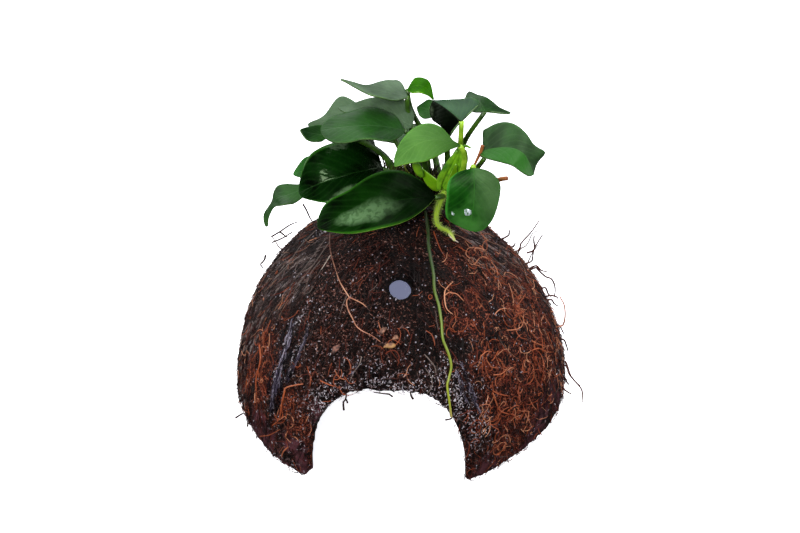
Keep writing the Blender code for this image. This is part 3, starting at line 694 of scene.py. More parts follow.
# The hairs that stand clear of the edge, each as its tone and the points it runs through.
HAIRS = (
    (0.42, (39.2, 18.5, 43.3), (41.7, 19.7, 44.1), (42.4, 19.7, 47.4), (45.3, 19.7, 52.2),
     (47.9, 19.7, 57.7)),
    (0.35, (43.7, 16.2, 40.2), (46.3, 17.2, 41.0), (46.6, 17.2, 42.4), (46.9, 17.2, 46.5), (48.4, 17.2, 50.9),
     (49.5, 17.2, 53.7)),
    (0.35, (44.5, 18.6, 43.7), (47.1, 19.7, 44.5), (46.6, 19.7, 49.1), (46.7, 19.7, 51.0)),
    (0.35, (45.6, 16.5, 37.2), (48.2, 17.5, 38.0), (49.4, 17.5, 36.7), (52.0, 17.5, 34.1), (54.2, 17.5, 33.1),
     (55.6, 17.5, 30.1), (56.0, 17.5, 26.8), (55.7, 17.5, 24.8)),
    (0.35, (45.6, 16.4, 38.2), (48.2, 17.4, 39.0), (50.1, 17.4, 37.1), (52.3, 17.4, 36.5)),
    (0.7, (56.1, 6.1, 20.0), (58.9, 6.4, 20.8), (59.5, 6.4, 23.3), (59.4, 6.4, 27.3), (58.7, 6.4, 31.2),
     (57.0, 6.4, 34.6)),
    (0.35, (58.3, -3.8, 10.2), (61.1, -4.0, 11.0), (62.0, -9.0, 12.0), (63.5, -14.0, 13.8),
     (65.2, -19.0, 15.8), (65.8, -24.0, 18.4), (66.0, -29.0, 18.2)),
    (0.35, (56.4, -10.4, 7.3), (59.2, -10.9, 8.1), (60.4, -10.9, 6.2), (61.9, -10.9, 4.8),
     (63.6, -10.9, 3.6)),
    (0.35, (57.9, -2.9, 11.2), (60.7, -3.0, 12.0), (62.5, -8.0, 10.6), (64.1, -13.0, 12.1),
     (65.5, -18.0, 15.3)),
    (0.35, (49.3, 13.7, 30.6), (52.0, 14.5, 31.4), (53.3, 14.5, 28.7), (54.5, 14.5, 27.3)),
    (0.35, (51.8, 12.4, 26.4), (54.5, 13.0, 27.2), (55.7, 13.0, 25.4), (57.2, 13.0, 24.3)),
    (0.35, (55.1, 6.8, 19.3), (57.9, 7.1, 20.1), (59.1, 7.1, 18.2), (59.9, 7.1, 16.3)),
    (0.35, (54.9, -16.6, 5.2), (57.6, -17.4, 6.0), (58.7, -15.5, 1.0), (59.1, -17.4, 1.5)),
    (0.35, (35.1, 19.7, 48.3), (37.5, 21.1, 49.1), (37.8, 21.1, 50.4), (38.0, 21.1, 51.8)),
    (0.35, (37.5, 21.4, 42.5), (39.9, 22.8, 43.3), (40.2, 22.8, 44.7)),
    (0.35, (57.0, 5.3, 14.0), (59.8, 5.6, 14.8), (61.1, 5.6, 12.4), (62.1, 5.6, 9.0)),
    (0.35, (58.2, -3.1, 3.4), (61.0, -3.3, 4.2), (62.3, -3.3, 1.8), (63.1, -3.3, 0.8)),
    (0.35, (51.2, 11.9, 28.7), (53.9, 12.5, 29.5), (56.1, 12.5, 29.2), (56.9, 12.5, 28.3)),
    (0.3, (-48.6, 22.1, 41.6), (-45.4, 22.1, 44.1), (-41.5, 22.1, 47.5), (-38.4, 22.1, 49.2)),
    (0.3, (-48.2, 20.6, 40.1), (-45.9, 20.6, 41.4), (-43.7, 20.6, 42.8), (-40.2, 20.6, 45.8)),
    (0.3, (-44.8, 19.3, 46.4), (-43.3, 19.3, 44.9), (-42.2, 19.3, 43.9)),
    (0.3, (-48.9, 11.4, 41.6), (-49.7, 11.4, 38.9), (-51.0, 11.4, 37.2), (-50.3, 11.4, 35.4)),
    (0.3, (-55.1, -31.1, 1.0), (-52.6, -31.1, 3.3), (-51.1, -31.1, 3.8)),
    (0.3, (-50.1, -34.3, 0.5), (-49.8, -33.4, 3.4)),
    (0.3, (-54.9, -24.7, 5.1), (-53.8, -24.7, 5.7)),
    (0.3, (-36.3, 22.8, 56.8), (-35.0, 22.8, 53.8), (-34.0, 22.8, 50.7), (-32.6, 22.8, 48.0)),
    (0.30, (-12.9, -51.3, 30.2), (-13.0, -51.3, 33.7), (-12.2, -51.3, 35.3), (-11.9, -51.3, 38.1)),
    (0.30, (-11.7, -50.3, 32.6), (-12.1, -50.3, 34.4)),
    (0.30, (2.9, -49.0, 35.6), (1.7, -49.0, 36.7), (-0.1, -49.0, 36.8), (-3.3, -49.0, 37.1)),
    (0.30, (9.5, -48.4, 34.5), (8.8, -48.4, 36.1), (8.5, -48.4, 37.7)),
    (0.30, (20.1, -49.1, 26.4), (21.4, -49.1, 26.8), (22.4, -49.1, 27.6)),
)
for tone, *stops in HAIRS:
    fibres.append((smooth_route(stops, STEPS_PER_STOP * len(stops)), dice.uniform(0.36, 0.44), tone))
fibre_mesh("sprung_ends", fibres, coir_fibre)

# Cords of husk that have matted into wet ridges, with a painted lavender sheen; the black gaps beside them
# are painted shade on the shell. Each is how many fibres, how many degrees wide, how bright the sheen is, and
# the bearings and latitudes it runs through.
CORDS = (
    (150, 1.3, 0.95, (219.8, 0.782), (223.3, 0.688), (224.9, 0.606), (226.4, 0.509), (227.2, 0.404),
     (227.9, 0.294)),
    (60, 0.8, 0.85, (229.9, 0.793), (232.1, 0.702), (231.6, 0.609), (231.4, 0.487)),
    (50, 0.9, 0.25, (227.7, 0.658), (229.0, 0.564), (230.0, 0.448), (230.8, 0.307)),
    (34, 0.9, 0.3, (217.2, 0.72), (221.0, 0.606), (222.6, 0.5), (224.4, 0.36)),
    (44, 0.8, 0.95, (302.3, 0.682), (303.4, 0.593), (304.1, 0.506), (305.3, 0.395)),
    (30, 0.6, 0.9, (299.6, 0.65), (300.4, 0.563), (301.3, 0.474)),
    (26, 0.6, 0.85, (259.2, 0.724), (256.6, 0.667), (254.9, 0.597)),
)
CORD_STOPS = 6
CORD_STEP = 0.022
LAST_START = 0.88
fibres = []
for count, width, bright, *stops in CORDS:
    knots = [Vector((bearing, latitude, 0.0)) for bearing, latitude in stops]
    for _ in range(count):
        start = dice.uniform(0.0, LAST_START)
        shift, lift = dice.gauss(0.0, width * 0.6), dice.uniform(0.3, 0.8)
        path = []
        for i in range(CORD_STOPS):
            at = curve_at(knots, min(0.999, start + i * CORD_STEP))
            path.append(shell_point(at.x + shift + dice.gauss(0.0, 0.25), at.y, lift))
        if (path[-1] - path[0]).length > 0.5:
            fibres.append((path, dice.uniform(0.1, 0.2), bright * dice.random()))
# Matted fibres under a film of water: black, with a painted sheen of cold lavender.
soaked_cord = fibre_skin("soaked_cord", (0.0, "#020102"), (0.3, "#15101a"), (0.6, "#474052"),
                         (1.0, "#aaa3b6"), roughness=0.3)
fibre_mesh("soaked_cords", fibres, soaked_cord)


def made_piece(name, mesh, *skins):
    """The bmesh as an object with these materials."""
    data = bpy.data.meshes.new(name)
    mesh.to_mesh(data)
    mesh.free()
    for skin in skins:
        data.materials.append(skin)
    return bpy.data.objects.new(name, data)


# Chips of husk that lie caught in the coir, each as bearing, latitude, length, width, turn and tone.
CHIPS = ((271.7, 0.814, 4.0, 2.0, 0.1, 0.0), (247.2, 0.757, 3.4, 2.0, 1.3, 0.9),
         (267.8, 0.884, 2.6, 1.8, 0.7, 0.7), (274.0, 0.851, 2.2, 1.6, 0.2, 0.6),
         (277.5, 0.90, 1.4, 1.0, 0.9, 1.0), (320.0, 0.345, 1.8, 1.2, 0.4, 1.0))
CHIP_RAGGEDNESS = 0.7
CHIP_LIFT = 0.3
CHIP_CORNERS = 9
CHIP_THICKNESS = 0.5
mesh = bmesh.new()
dullness = mesh.verts.layers.float.new("tone")
for bearing, latitude, length, width, turn, tone in CHIPS:
    middle = shell_point(bearing, latitude, CHIP_LIFT)
    east = (shell_point(bearing + 1.0, latitude) - shell_point(bearing, latitude)).normalized()
    north = (shell_point(bearing, latitude + 0.02) - shell_point(bearing, latitude)).normalized()
    out = east.cross(north)
    rings = []
    for lift, shrink in ((0.0, 1.0), (CHIP_THICKNESS * 0.7, 0.95), (CHIP_THICKNESS, 0.7)):
        ring = []
        for k in range(CHIP_CORNERS):
            angle = 2.0 * math.pi * k / CHIP_CORNERS
            chance = noise.noise(Vector((bearing + math.cos(angle), latitude, math.sin(angle))))
            ragged = shrink * (1.0 + CHIP_RAGGEDNESS * chance)
            x, y = math.cos(angle) * length / 2.0 * ragged, math.sin(angle) * width / 2.0 * ragged
            across = east * (x * math.cos(turn) - y * math.sin(turn))
            across += north * (x * math.sin(turn) + y * math.cos(turn))
            ring.append(mesh.verts.new((middle + across + out * lift + AXIS) * MM))
            ring[-1][dullness] = tone
        rings.append(ring)
    for low, high in zip(rings, rings[1:]):
        for k in range(CHIP_CORNERS):
            n = (k + 1) % CHIP_CORNERS
            mesh.faces.new((low[k], low[n], high[n], high[k]))
    mesh.faces.new(rings[-1])
# Dry husk, torn across: tan or a dull red brown, matt and speckled.
SPECK_MM = 1.43
tree, shader, husk_chip = new_material("dry_husk_chip", {"Roughness": 0.6})
place = add(tree, "TexCoord", output="Object")
specks = add(tree, "TexNoise", {"Vector": place, "Scale": scale_of(SPECK_MM), "Detail": 3.0})
chip, dull = (
    add(tree, "ValToRGB", {"Fac": specks}, stops=stops)
    for stops in (((0.35, "#3a2018"), (0.5, "#74492c"), (0.62, "#987240")),
                  ((0.4, "#1c0e0c"), (0.52, "#4c2a24"), (0.64, "#8c5a50")))
)
tone = add(tree, "Attribute", output="Fac", attribute_name="tone")
chip = add(tree, "Mix", {"Factor": tone, "A": chip, "B": dull}, "Result", data_type="RGBA")
tree.links.new(chip, shader.inputs["Base Color"])
show(made_piece("husk_chips", mesh, husk_chip), slot="coir_brown")

# The stem
# The rhizome, a green stem as thick as a pencil that creeps over the shell, ringed where old leaves fell.
# Brown threads, all that is left of the old leaves' bases, stand round it between the stalks.

RHIZOME_RADIUS = 3.7
RHIZOME_LIFT = 5.4
RHIZOME_RUN = ((-16.0, 9.0), (-10.0, 10.0), (-2.0, 9.5), (6.0, 10.5), (14.0, 9.5), (21.0, 8.0))
STALK_GAP = 0.5
RING_SPACING = 2.6
RING_DEPTH = 0.25
RHIZOME_STEPS = 90


def over_shell(x, y, lift):
    """The point this far above the shell's roof at x, y."""
    bearing = math.degrees(math.atan2(y, x))
    share = min(0.999, math.hypot(x, y) / (SHELL_RADIUS * shell_ridges(bearing)))
    return shell_point(bearing, math.acos(share ** (DOME_POWER / 2.0)), lift)


def rhizome_centre(x):
    """The middle of the creeping stem at this x."""
    for (x0, y0), (x1, y1) in zip(RHIZOME_RUN, RHIZOME_RUN[1:]):
        if x <= x1:
            break
    return over_shell(x, y0 + (y1 - y0) * (x - x0) / (x1 - x0), RHIZOME_LIFT)


def rhizome_normal(turn):
    """Straight up, turned this many degrees towards the back."""
    angle = math.radians(turn)
    return Vector((0.0, math.sin(angle), math.cos(angle)))


def rhizome_surface(x, turn):
    """A point just off the stem, where a stalk starts."""
    return rhizome_centre(x) + rhizome_normal(turn) * (RHIZOME_RADIUS + STALK_GAP)


def stem_mesh(name, points, radii, material, sides=12, flat=1.0):
    """A closed stem along these points, its UVs running round and along it, and flat across where wanted."""
    mesh = bmesh.new()
    rings = []
    last = len(points) - 1
    side = None
    for i, (at, radius) in enumerate(zip(points, radii)):
        ahead = (points[min(i + 1, last)] - points[max(i - 1, 0)]).normalized()
        side = ahead.cross(Vector((0.05, 1.0, 0.03))) if side is None else side - ahead * side.dot(ahead)
        side.normalize()
        up = ahead.cross(side)
        ring = []
        for k in range(sides):
            turn = 2.0 * math.pi * k / sides
            out = side * math.cos(turn) * radius + up * math.sin(turn) * radius * flat
            ring.append(mesh.verts.new((at + out + AXIS) * MM))
        rings.append(ring)
    sheet = mesh.loops.layers.uv.new("UVMap")
    for i, (a, b) in enumerate(zip(rings, rings[1:])):
        for k in range(sides):
            n = (k + 1) % sides
            face = mesh.faces.new((a[k], a[n], b[n], b[k]))
            for loop, (u, v) in zip(face.loops, ((k, i), (k + 1, i), (k + 1, i + 1), (k, i + 1))):
                loop[sheet].uv = (u / sides, v / last)
    mesh.faces.new(list(reversed(rings[0])))
    mesh.faces.new(rings[-1])
    bmesh.ops.recalc_face_normals(mesh, faces=mesh.faces)
    stem = made_piece(name, mesh, material)
    stem.data.shade_smooth()
    return stem


MOTTLE_MM = 3.33


def living_skin(name, *stops, roughness=0.4, along=0.0):
    """The smooth waxy skin of a stem or root, mottled or turning colour along it, with light under it."""
    tree, shader, made = new_material(name, {
        "Roughness": roughness, "Subsurface Weight": 0.15,
        "Subsurface Radius": (0.4 * MM, 0.6 * MM, 0.2 * MM)})
    place = add(tree, "TexCoord", output="Object")
    mottle = add(tree, "TexNoise", {"Vector": place, "Scale": scale_of(MOTTLE_MM), "Detail": 3.0})
    sheet = add(tree, "UVMap", uv_map="UVMap")
    length = add(tree, "SeparateXYZ", {0: sheet}, "Y")
    mottled = add(tree, "Math", {0: mottle, 1: 1.0 - along}, operation="MULTIPLY")
    share = add(tree, "Math", {0: length, 1: along, 2: mottled}, operation="MULTIPLY_ADD")
    skin = add(tree, "ValToRGB", {"Fac": share}, stops=stops)
    tree.links.new(skin, shader.inputs["Base Color"])
    return made


first, last = RHIZOME_RUN[0][0], RHIZOME_RUN[-1][0]
points, radii = [], []
for i in range(RHIZOME_STEPS):
    share = i / (RHIZOME_STEPS - 1)
    x = first + (last - first) * share
    points.append(rhizome_centre(x))
    taper = min(1.0, 0.62 + 1.6 * (1.0 - share), 0.75 + 2.5 * share)
    ring = (0.5 + 0.5 * math.cos(2.0 * math.pi * x / RING_SPACING)) ** 4
    radii.append(RHIZOME_RADIUS * taper - RING_DEPTH * ring)
# Olive green bark-like skin, mottled and a little waxy.
rhizome_skin = living_skin("rhizome_skin", (0.35, "#33401a"), (0.65, "#6d7a2e"))
show(stem_mesh("creeping_stem", points, radii, rhizome_skin, 20), "rhizome", slot="rhizome_green")

THREADS = 700
THREAD_STEPS = 7
THREAD_DEPTH = 1.0
fibres = []
for _ in range(THREADS):
    x, turn = dice.uniform(-6.0, 20.0), dice.uniform(-80.0, 60.0)
    path = [rhizome_surface(x, turn) - rhizome_normal(turn) * THREAD_DEPTH]
    astray = Vector((dice.gauss(0.0, 0.5), dice.gauss(0.0, 0.5), dice.uniform(0.3, 1.2)))
    step = (rhizome_normal(turn) + astray).normalized()
    for _ in range(THREAD_STEPS):
        step = (step + Vector([dice.gauss(0.0, 0.3) for _ in range(3)])).normalized()
        path.append(path[-1] + step * dice.uniform(0.8, 1.7))
    fibres.append((path, dice.uniform(0.14, 0.4), dice.random()))
# Rotted leaf bases: dull brown threads, a few of them still green.
leaf_base_threads = fibre_skin("old_leaf_base_threads", (0.0, "#0b0906"), (0.5, "#2a2414"), (0.85, "#4a4a20"),
                               (1.0, "#7d8a38"))
fibre_mesh("old_leaf_bases", fibres, leaf_base_threads, slot="rhizome_green")

# The roots
# They come from the underside of the stem and grip the coir. The long green one runs down the front as far as
# the door, the thick pale one is young and still furred with root hairs, and the thin pinkish ones are old.

# Radii are those at the start of the route and at its tip.
Root = namedtuple("Root", "name route radii steps skin slot")
# Smooth living roots, green above and paler to the tip, and old ones whose skin has dried to pink and brown.
green_root = living_skin("green_root", (0.0, "#1c2a0c"), (0.25, "#2c4416"), (0.5, "#667c1e"),
                         (0.85, "#98a032"), (0.97, "#b89c70"), along=0.9)
young_root = living_skin("young_root", (0.1, "#86ac2c"), (0.8, "#a4c23a"), (0.93, "#d8cf9c"), along=0.8)
old_root = living_skin("old_pinkish_root", (0.05, "#3a2620"), (0.45, "#8a5a48"), (0.8, "#c08e72"),
                       roughness=0.5, along=0.8)
pink_root = living_skin("pink_root", (0.35, "#9c6048"), (0.65, "#c89274"), roughness=0.5)


def on_roof(*stops):
    """The points this far above the roof, each from its x, y and lift."""
    return tuple(tuple(over_shell(*stop)) for stop in stops)


ROOTS = (
    Root("long_front", (
        (9.0, 4.2, 71.0), (10.3, -2.6, 69.1), (11.0, -9.1, 67.9), (12.0, -13.8, 66.1), (13.5, -19.0, 63.3),
        (14.2, -23.8, 60.4), (15.9, -27.6, 57.2), (17.1, -31.5, 53.5), (17.9, -35.1, 49.5),
        (19.8, -37.6, 46.1), (21.1, -40.0, 42.4), (20.6, -42.4, 39.3), (20.2, -44.1, 37.2),
        (21.0, -46.3, 33.3), (21.7, -47.9, 29.6), (22.1, -48.8, 27.4)),
        (0.56, 0.34), 100, green_root, "root_green"),
    Root("thick_front", (
        (16.2, 2.5, 83.2), (14.8, 1.5, 79.7), (13.6, 0.5, 76.7), (12.9, -0.6, 72.4), (14.0, -1.2, 68.9),
        (17.3, -1.1, 66.9), (19.5, -4.0, 65.4)), (1.25, 0.5), 60, young_root, "root_young"),
    Root("pink_left", (
        (-23.1, -0.2, 63.3), (-22.4, -6.5, 63.2), (-21.1, -12.2, 62.8), (-19.3, -17.2, 62.0),
        (-17.2, -22.2, 60.5), (-14.9, -25.8, 59.5), (-13.2, -28.0, 58.6)),
        (0.19, 0.19), 60, old_root, "root_pink"),
    Root("pink_fork", (
        (-13.2, -28.0, 58.6), (-14.0, -28.9, 57.7), (-13.4, -31.1, 56.3), (-11.8, -33.3, 54.7),
        (-10.2, -35.5, 53.2), (-8.1, -37.0, 52.5), (-4.7, -38.1, 51.6), (-1.9, -39.3, 50.3)),
        (0.19, 0.12), 60, pink_root, "root_pink"),
    Root("pink_twig", (
        (-13.2, -28.0, 58.6), (-10.6, -29.2, 58.4), (-8.6, -30.2, 58.1), (-7.3, -31.2, 57.6)),
        (0.19, 0.12), 30, pink_root, "root_pink"),
    Root("back_left", on_roof((-9, 14.5, 2.0), (-13, 24, 1.6), (-14, 33, 1.4), (-20, 41, 1.2)),
         (0.7, 0.42), 60, green_root, "root_green"),
    Root("back_right", on_roof((9, 15, 2.0), (10, 25, 1.6), (16, 34, 1.4), (17, 43, 1.2)),
         (0.7, 0.42), 60, green_root, "root_green"),
)


def thinning(thick, thin, count):
    """This many radii, from thick to thin in even steps."""
    return [thick + (thin - thick) * i / (count - 1) for i in range(count)]


HAIR_RADIUS = 0.06
YOUNG_HAIRS = 9
OLD_HAIRS = 6
fibres = []
for root in ROOTS:
    points = smooth_route(root.route, root.steps)
    thin = root.radii[1]
    radii = thinning(*root.radii, root.steps)[:-2] + [thin * 0.8, thin * 0.3]
    stem = stem_mesh("rooting_" + root.name, points, radii, root.skin, 10)
    # The right branch of the pink root has no solid of its own.
    show(stem, *(["root_" + root.name] if root.name != "pink_twig" else []), slot=root.slot)
    if root.skin not in (young_root, green_root):
        continue
    young = root.skin == young_root
    for i in range(2, root.steps - 6):
        for _ in range(YOUNG_HAIRS if young else max(0, OLD_HAIRS - i // 6)):
            ahead = (points[i + 1] - points[i]).normalized()
            out = ahead.cross(Vector([dice.gauss(0.0, 1.0) for _ in range(3)])).normalized()
            start = points[i] + ahead * dice.uniform(-0.3, 0.3) + out * radii[i] * 0.9
            reach = dice.uniform(0.5, 1.2)
            end = start + (out + ahead * dice.gauss(0.2, 0.4)) * reach
            fibres.append(([start, start.lerp(end, 0.5), end], HAIR_RADIUS, 0.85 if young else 0.15))
# Root hairs, a single cell wide and see-through in life, drawn thicker and solid so that they show.
root_hair = fibre_skin("root_hair", (0.0, "#23300f"), (0.3, "#33461a"), (0.7, "#86a03a"), (1.0, "#b6c878"))
fibre_mesh("root_hairs", fibres, root_hair, slot="root_young")

# The blades
# Leathery leaves, dark and glossy when they are old and a fresh light green when young. The midrib is sunk
# into the upper side, side veins sweep from it towards the tip, and the margin is a thin pale line.

# Face is the bearing and elevation that the upper side looks to, fold how many degrees each half folds up,
# and foot where the stalk starts: how far along the stem and how many degrees round it. Left and right are
# how far the margin stands from the midrib at even steps from base to tip, both alike where there is no
# right. With no line the midrib is a bow from base to tip.
Leaf = namedtuple("Leaf", "name base tip arch crest swing face fold cup wave finish foot rise left right "
                  "line", defaults=(None, None))

LEAVES = (
    Leaf("front_broad", (12.5, -4, 83), (-25, -13, 75), 4.8, 0.5, 0, (250, 62), (6, 6), -0.1, 0.5,
         "painted_sky", (14, -38), 5,
         (0.7, 3.5, 5.8, 7.5, 8.5, 9.0, 9.1, 8.9, 8.3, 7.2, 5.5, 3.4, 1.1),
         (2.6, 6.8, 9.8, 11.2, 11.7, 11.5, 10.9, 9.8, 8.4, 7.7, 7.3, 5.8, 2.3)),
    Leaf("left_dark", (-6, 9, 84), (-32.5, -2, 80.3), 5.0, 0.5, 0, (250, 42), (8, 8), -0.1, 0.7,
         "glossy", (1.5, -38), 4,
         (3.0, 4.0, 4.6, 5.3, 6.2, 7.0, 7.6, 7.9, 7.8, 7.0, 5.6, 3.8, 2.0),
         (13.5, 14.0, 13.6, 13.0, 12.6, 12.2, 12.0, 11.7, 11.2, 10.4, 8.5, 5.4, 1.8)),
    Leaf("middle_left", (1.5, 6, 101.5), (-24, -4, 106.5), 2.0, 0.5, 0, (260, 84), (5, 5), -0.1, 0.6,
         "matt", (8, 0), 10,
         (1.0, 3.4, 5.5, 6.8, 7.4, 7.6, 7.6, 7.5, 7.5, 7.5, 7.2, 6.3, 3.8),
         (6.8, 9.0, 9.9, 10.2, 9.9, 9.5, 8.9, 8.3, 7.6, 6.7, 5.5, 3.8, 1.7)),
    Leaf("back_left", (3.5, 12, 99.5), (-21, 16, 102.5), 2.5, 0.5, 0, (260, 75), (8, 8), 0, 0.6,
         "grey", (8, 42), 9,
         (1.2, 3.0, 4.0, 4.4, 4.7, 4.7, 4.7, 4.5, 4.1, 3.6, 2.9, 1.8, 0.5),
         (4.0, 6.0, 7.4, 8.0, 7.9, 7.4, 6.5, 5.5, 4.3, 3.0, 1.9, 1.0, 0.3)),
    Leaf("top_grey", (1.5, 16, 108.5), (-19.5, 12, 116), -0.8, 0.5, 0, (90, 83), (6, 6), 0, 0.5,
         "grey", (5, 30), 12,
         (1.3, 3.0, 4.4, 5.5, 6.4, 7.2, 8.0, 7.1, 4.3, 2.1, 1.2, 0.5, 0.3),
         (7.1, 9.5, 8.8, 7.9, 6.8, 5.6, 4.3, 3.2, 2.3, 1.6, 1.0, 0.7, 0.4)),
    Leaf("far_left_round", (-12, 20, 98), (-31, 12, 98), 0.5, 0.5, 0, (235, 46), (5, 5), 0, 0.4,
         "grey", (2, 30), 9,
         (0.6, 1.8, 2.8, 3.4, 3.9, 4.0, 3.9, 3.8, 3.5, 3.0, 2.3, 1.5, 0.7),
         (1.8, 3.8, 5.6, 7.0, 7.7, 7.4, 6.2, 4.5, 2.9, 1.8, 1.2, 0.9, 0.5)),
    Leaf("far_left_small", (-21.5, 6, 98.5), (-31.5, 1, 103), -1.0, 0.5, 0, (240, 50), (10, 10), 0, 0.3,
         "matt", (-2, 10), 12,
         (0.5, 0.1, 0.7, 1.6, 2.4, 2.7, 2.9, 3.1, 3.1, 2.9, 2.4, 1.4, 0.3),
         (0.7, 1.8, 2.6, 3.0, 3.2, 3.2, 3.1, 2.8, 2.5, 2.0, 1.6, 1.1, 0.6)),
    Leaf("left_peek", (-21, 12, 82.5), (-36.5, 10, 79), 1.0, 0.5, 0, (240, 65), (8, 8), 0, 0.3,
         "shaded_young", (-6, 20), 4,
         (0.5, 1.2, 2.5, 3.5, 4.1, 4.4, 4.6, 4.6, 4.1, 3.4, 2.5, 1.5, 0.6),
         (0.7, 1.6, 2.6, 3.6, 4.2, 4.6, 4.9, 5.0, 4.9, 4.3, 3.3, 2.0, 0.6)),
    Leaf("left_low", (-29.5, 5, 78), (-43.1, -8.0, 70.0), 6.0, 0.75, 0, (235, 62), (6, 6), 0, 0.4,
         "matt", (-11, -15), 3,
         (0.5, 1.9, 3.3, 4.1, 4.6, 4.6, 3.6, 2.1, 1.2, 1.0, 1.0, 0.7, 0.4),
         (0.7, 2.1, 3.1, 4.4, 4.8, 3.1, 1.2, 0.6, 0.8, 1.1, 1.1, 0.9, 0.5),
         line=((-29.5, 5.0, 78.0), (-33.3, 3.0, 77.5), (-37.0, 1.0, 76.9), (-40.0, -1.5, 77.3),
               (-41.7, -3.0, 76.2), (-42.7, -4.5, 74.3), (-43.4, -6.0, 72.5), (-43.1, -8.0, 70.0))),
    Leaf("centre_light", (20, -6, 105), (0.5, -14, 101.5), 1.5, 0.4, 4.5, (258, 58), (-8, -8), 0, 0.3,
         "fresh", (17, -38), 12,
         (0.7, 2.3, 4.0, 5.2, 5.8, 6.2, 6.2, 6.2, 5.9, 5.2, 4.0, 2.4, 0.5),
         (0.5, 0.8, 2.5, 4.6, 6.0, 6.5, 6.2, 5.5, 4.5, 3.7, 2.8, 1.8, 0.5)),
    Leaf("top_right", (20, 2, 109), (10.5, 10, 111), 1.0, 0.5, 0, (265, 62), (-60, -10), 0, 0.4,
         "half_shaded", (17, 2), 12,
         (6.6, 8.4, 8.2, 7.5, 6.6, 6.0, 5.7, 5.6, 5.7, 5.9, 5.6, 4.2, 2.0),
         (8.8, 9.6, 9.4, 9.2, 9.1, 7.5, 5.7, 4.3, 3.0, 2.1, 1.4, 0.7, 0.3)),
    Leaf("right_edge", (27, 11.5, 106.8), (21.5, 22, 107.5), 1.0, 0.5, 0, (0, 78), (-14, -14), 0, 0.4,
         "matt", (17, 42), 18,
         (3.0, 4.2, 4.9, 5.2, 5.2, 4.9, 4.6, 4.1, 3.5, 2.8, 2.0, 1.1, 0.3),
         (8.7, 11.6, 10.7, 8.8, 6.9, 5.5, 4.3, 3.4, 2.6, 1.9, 1.3, 0.8, 0.3)),
    Leaf("top_bright", (1.5, 20, 108.5), (10, 18, 106.5), 4.0, 0.5, 0, (265, 75), (3, 3), 0, 0.2,
         "new", (11, 42), 17,
         (3.2, 4.2, 4.1, 3.9, 3.8, 3.6, 3.5, 3.3, 2.8, 2.2, 1.5, 0.8, 0.3),
         (0.5, 1.6, 2.6, 3.1, 3.3, 3.2, 3.0, 2.7, 2.3, 1.8, 1.2, 0.7, 0.3)),
    Leaf("back_small", (11.5, 12, 105), (5, 15, 105), 1.0, 0.5, 0, (260, 60), (6, 6), 0, 0.3,
         "matt", (14, 2), 10,
         (0.5, 1.9, 2.7, 3.1, 3.4, 3.5, 3.4, 3.2, 2.9, 2.3, 1.7, 0.9, 0.3)),
    Leaf("right_folded", (28, -3, 99), (43.4, -12.3, 100), 0, 0.5, 0, (90, 82), (45, -35), 0, 0.3, "half_lit",
         (20.5, 20), 10, (7.5, 8.2, 7.8, 8.5, 8.6, 8.0, 6.9, 5.8, 5.0, 5.2, 6.2, 3.0, 0.4),
         (0.4, 1.5, 3.7, 4.8, 5.4, 5.7, 5.9, 5.9, 5.9, 5.7, 5.0, 3.8, 1.6),
         line=((26.9, -3.0, 99.3), (27.9, -3.5, 101.8), (30.7, -4.5, 103.6), (33.8, -6.0, 105.2),
               (36.8, -8.0, 106.4), (39.1, -9.5, 106.4), (40.7, -10.5, 105.4), (42.1, -11.5, 103.1),
               (43.4, -12.3, 100.0))),
    Leaf("front_right", (24.7, -6.5, 97), (24.0, -13.5, 77.9), 2.0, 0.4, -1.2, (265, 25), (4, 4), -0.1, 0.4,
         "wet", (20, -36), 8,
         (3.0, 6.0, 7.6, 8.3, 8.3, 8.1, 7.8, 7.5, 7.1, 6.6, 5.8, 4.6, 2.6),
         (4.5, 7.0, 8.2, 8.6, 8.8, 8.8, 8.8, 8.9, 8.9, 8.7, 8.3, 7.4, 4.6)),
    Leaf("behind_wide", (2, 24, 84), (-10, 42, 78), 3.0, 0.5, 0, (110, 60), (6, 6), -0.1, 0.6,
         "matt", (4, 70), 6,
         (0.5, 5.1, 7.8, 9.0, 9.7, 9.9, 9.7, 9.2, 8.2, 6.8, 5.0, 2.7, 0.3)),
    Leaf("behind_right", (20, 25, 67.5), (29, 41, 52), 3.0, 0.5, 0, (55, 50), (6, 6), -0.1, 0.5,
         "matt", (14.5, 75), 5,
         (0.5, 3.1, 4.7, 5.4, 5.8, 5.9, 5.8, 5.5, 5.0, 4.1, 3.0, 1.7, 0.3)),
    Leaf("behind_left", (-13, 24, 80), (-25, 38, 65), 3.0, 0.5, 0, (130, 55), (6, 6), -0.1, 0.5,
         "matt", (-6, 65), 5,
         (0.5, 4.1, 6.2, 7.2, 7.7, 7.9, 7.8, 7.4, 6.6, 5.5, 4.0, 2.2, 0.3)),
)

FOLDED_HALF_WIDTH = 8.0
CUPPED_SPAN = 10.0
LEAST_HALF_WIDTH = 0.2
ROUNDED_END = 0.04
WAVES = 1.6
WAVE_BY_NAME = 0.31
WAVE_OF_RIGHT_HALF = 1.9
BLADE_THICKNESS = 0.55
ALONG_STEPS = 48
ACROSS_STEPS = 24


def look(leaf):
    """The direction that the leaf's upper side looks to."""
    bearing, elevation = (math.radians(angle) for angle in leaf.face)
    level = math.cos(elevation)
    return Vector((math.cos(bearing) * level, math.sin(bearing) * level, math.sin(elevation)))


def midrib(leaf, along):
    """The point this share of the way from the blade's base to its tip, in millimetres."""
    if leaf.line:
        return curve_at([Vector(stop) for stop in leaf.line], along)
    base, tip = Vector(leaf.base), Vector(leaf.tip)
    chord = (tip - base).normalized()
    right = chord.cross(look(leaf)).normalized()
    up = right.cross(chord)
    early = leaf.crest / (1.0 - leaf.crest)
    peak = leaf.crest**early * (1.0 - leaf.crest)
    bow = up * (leaf.arch * along**early * (1.0 - along) / peak)
    return base.lerp(tip, along) + bow + right * (leaf.swing * 4.0 * along * (1.0 - along))


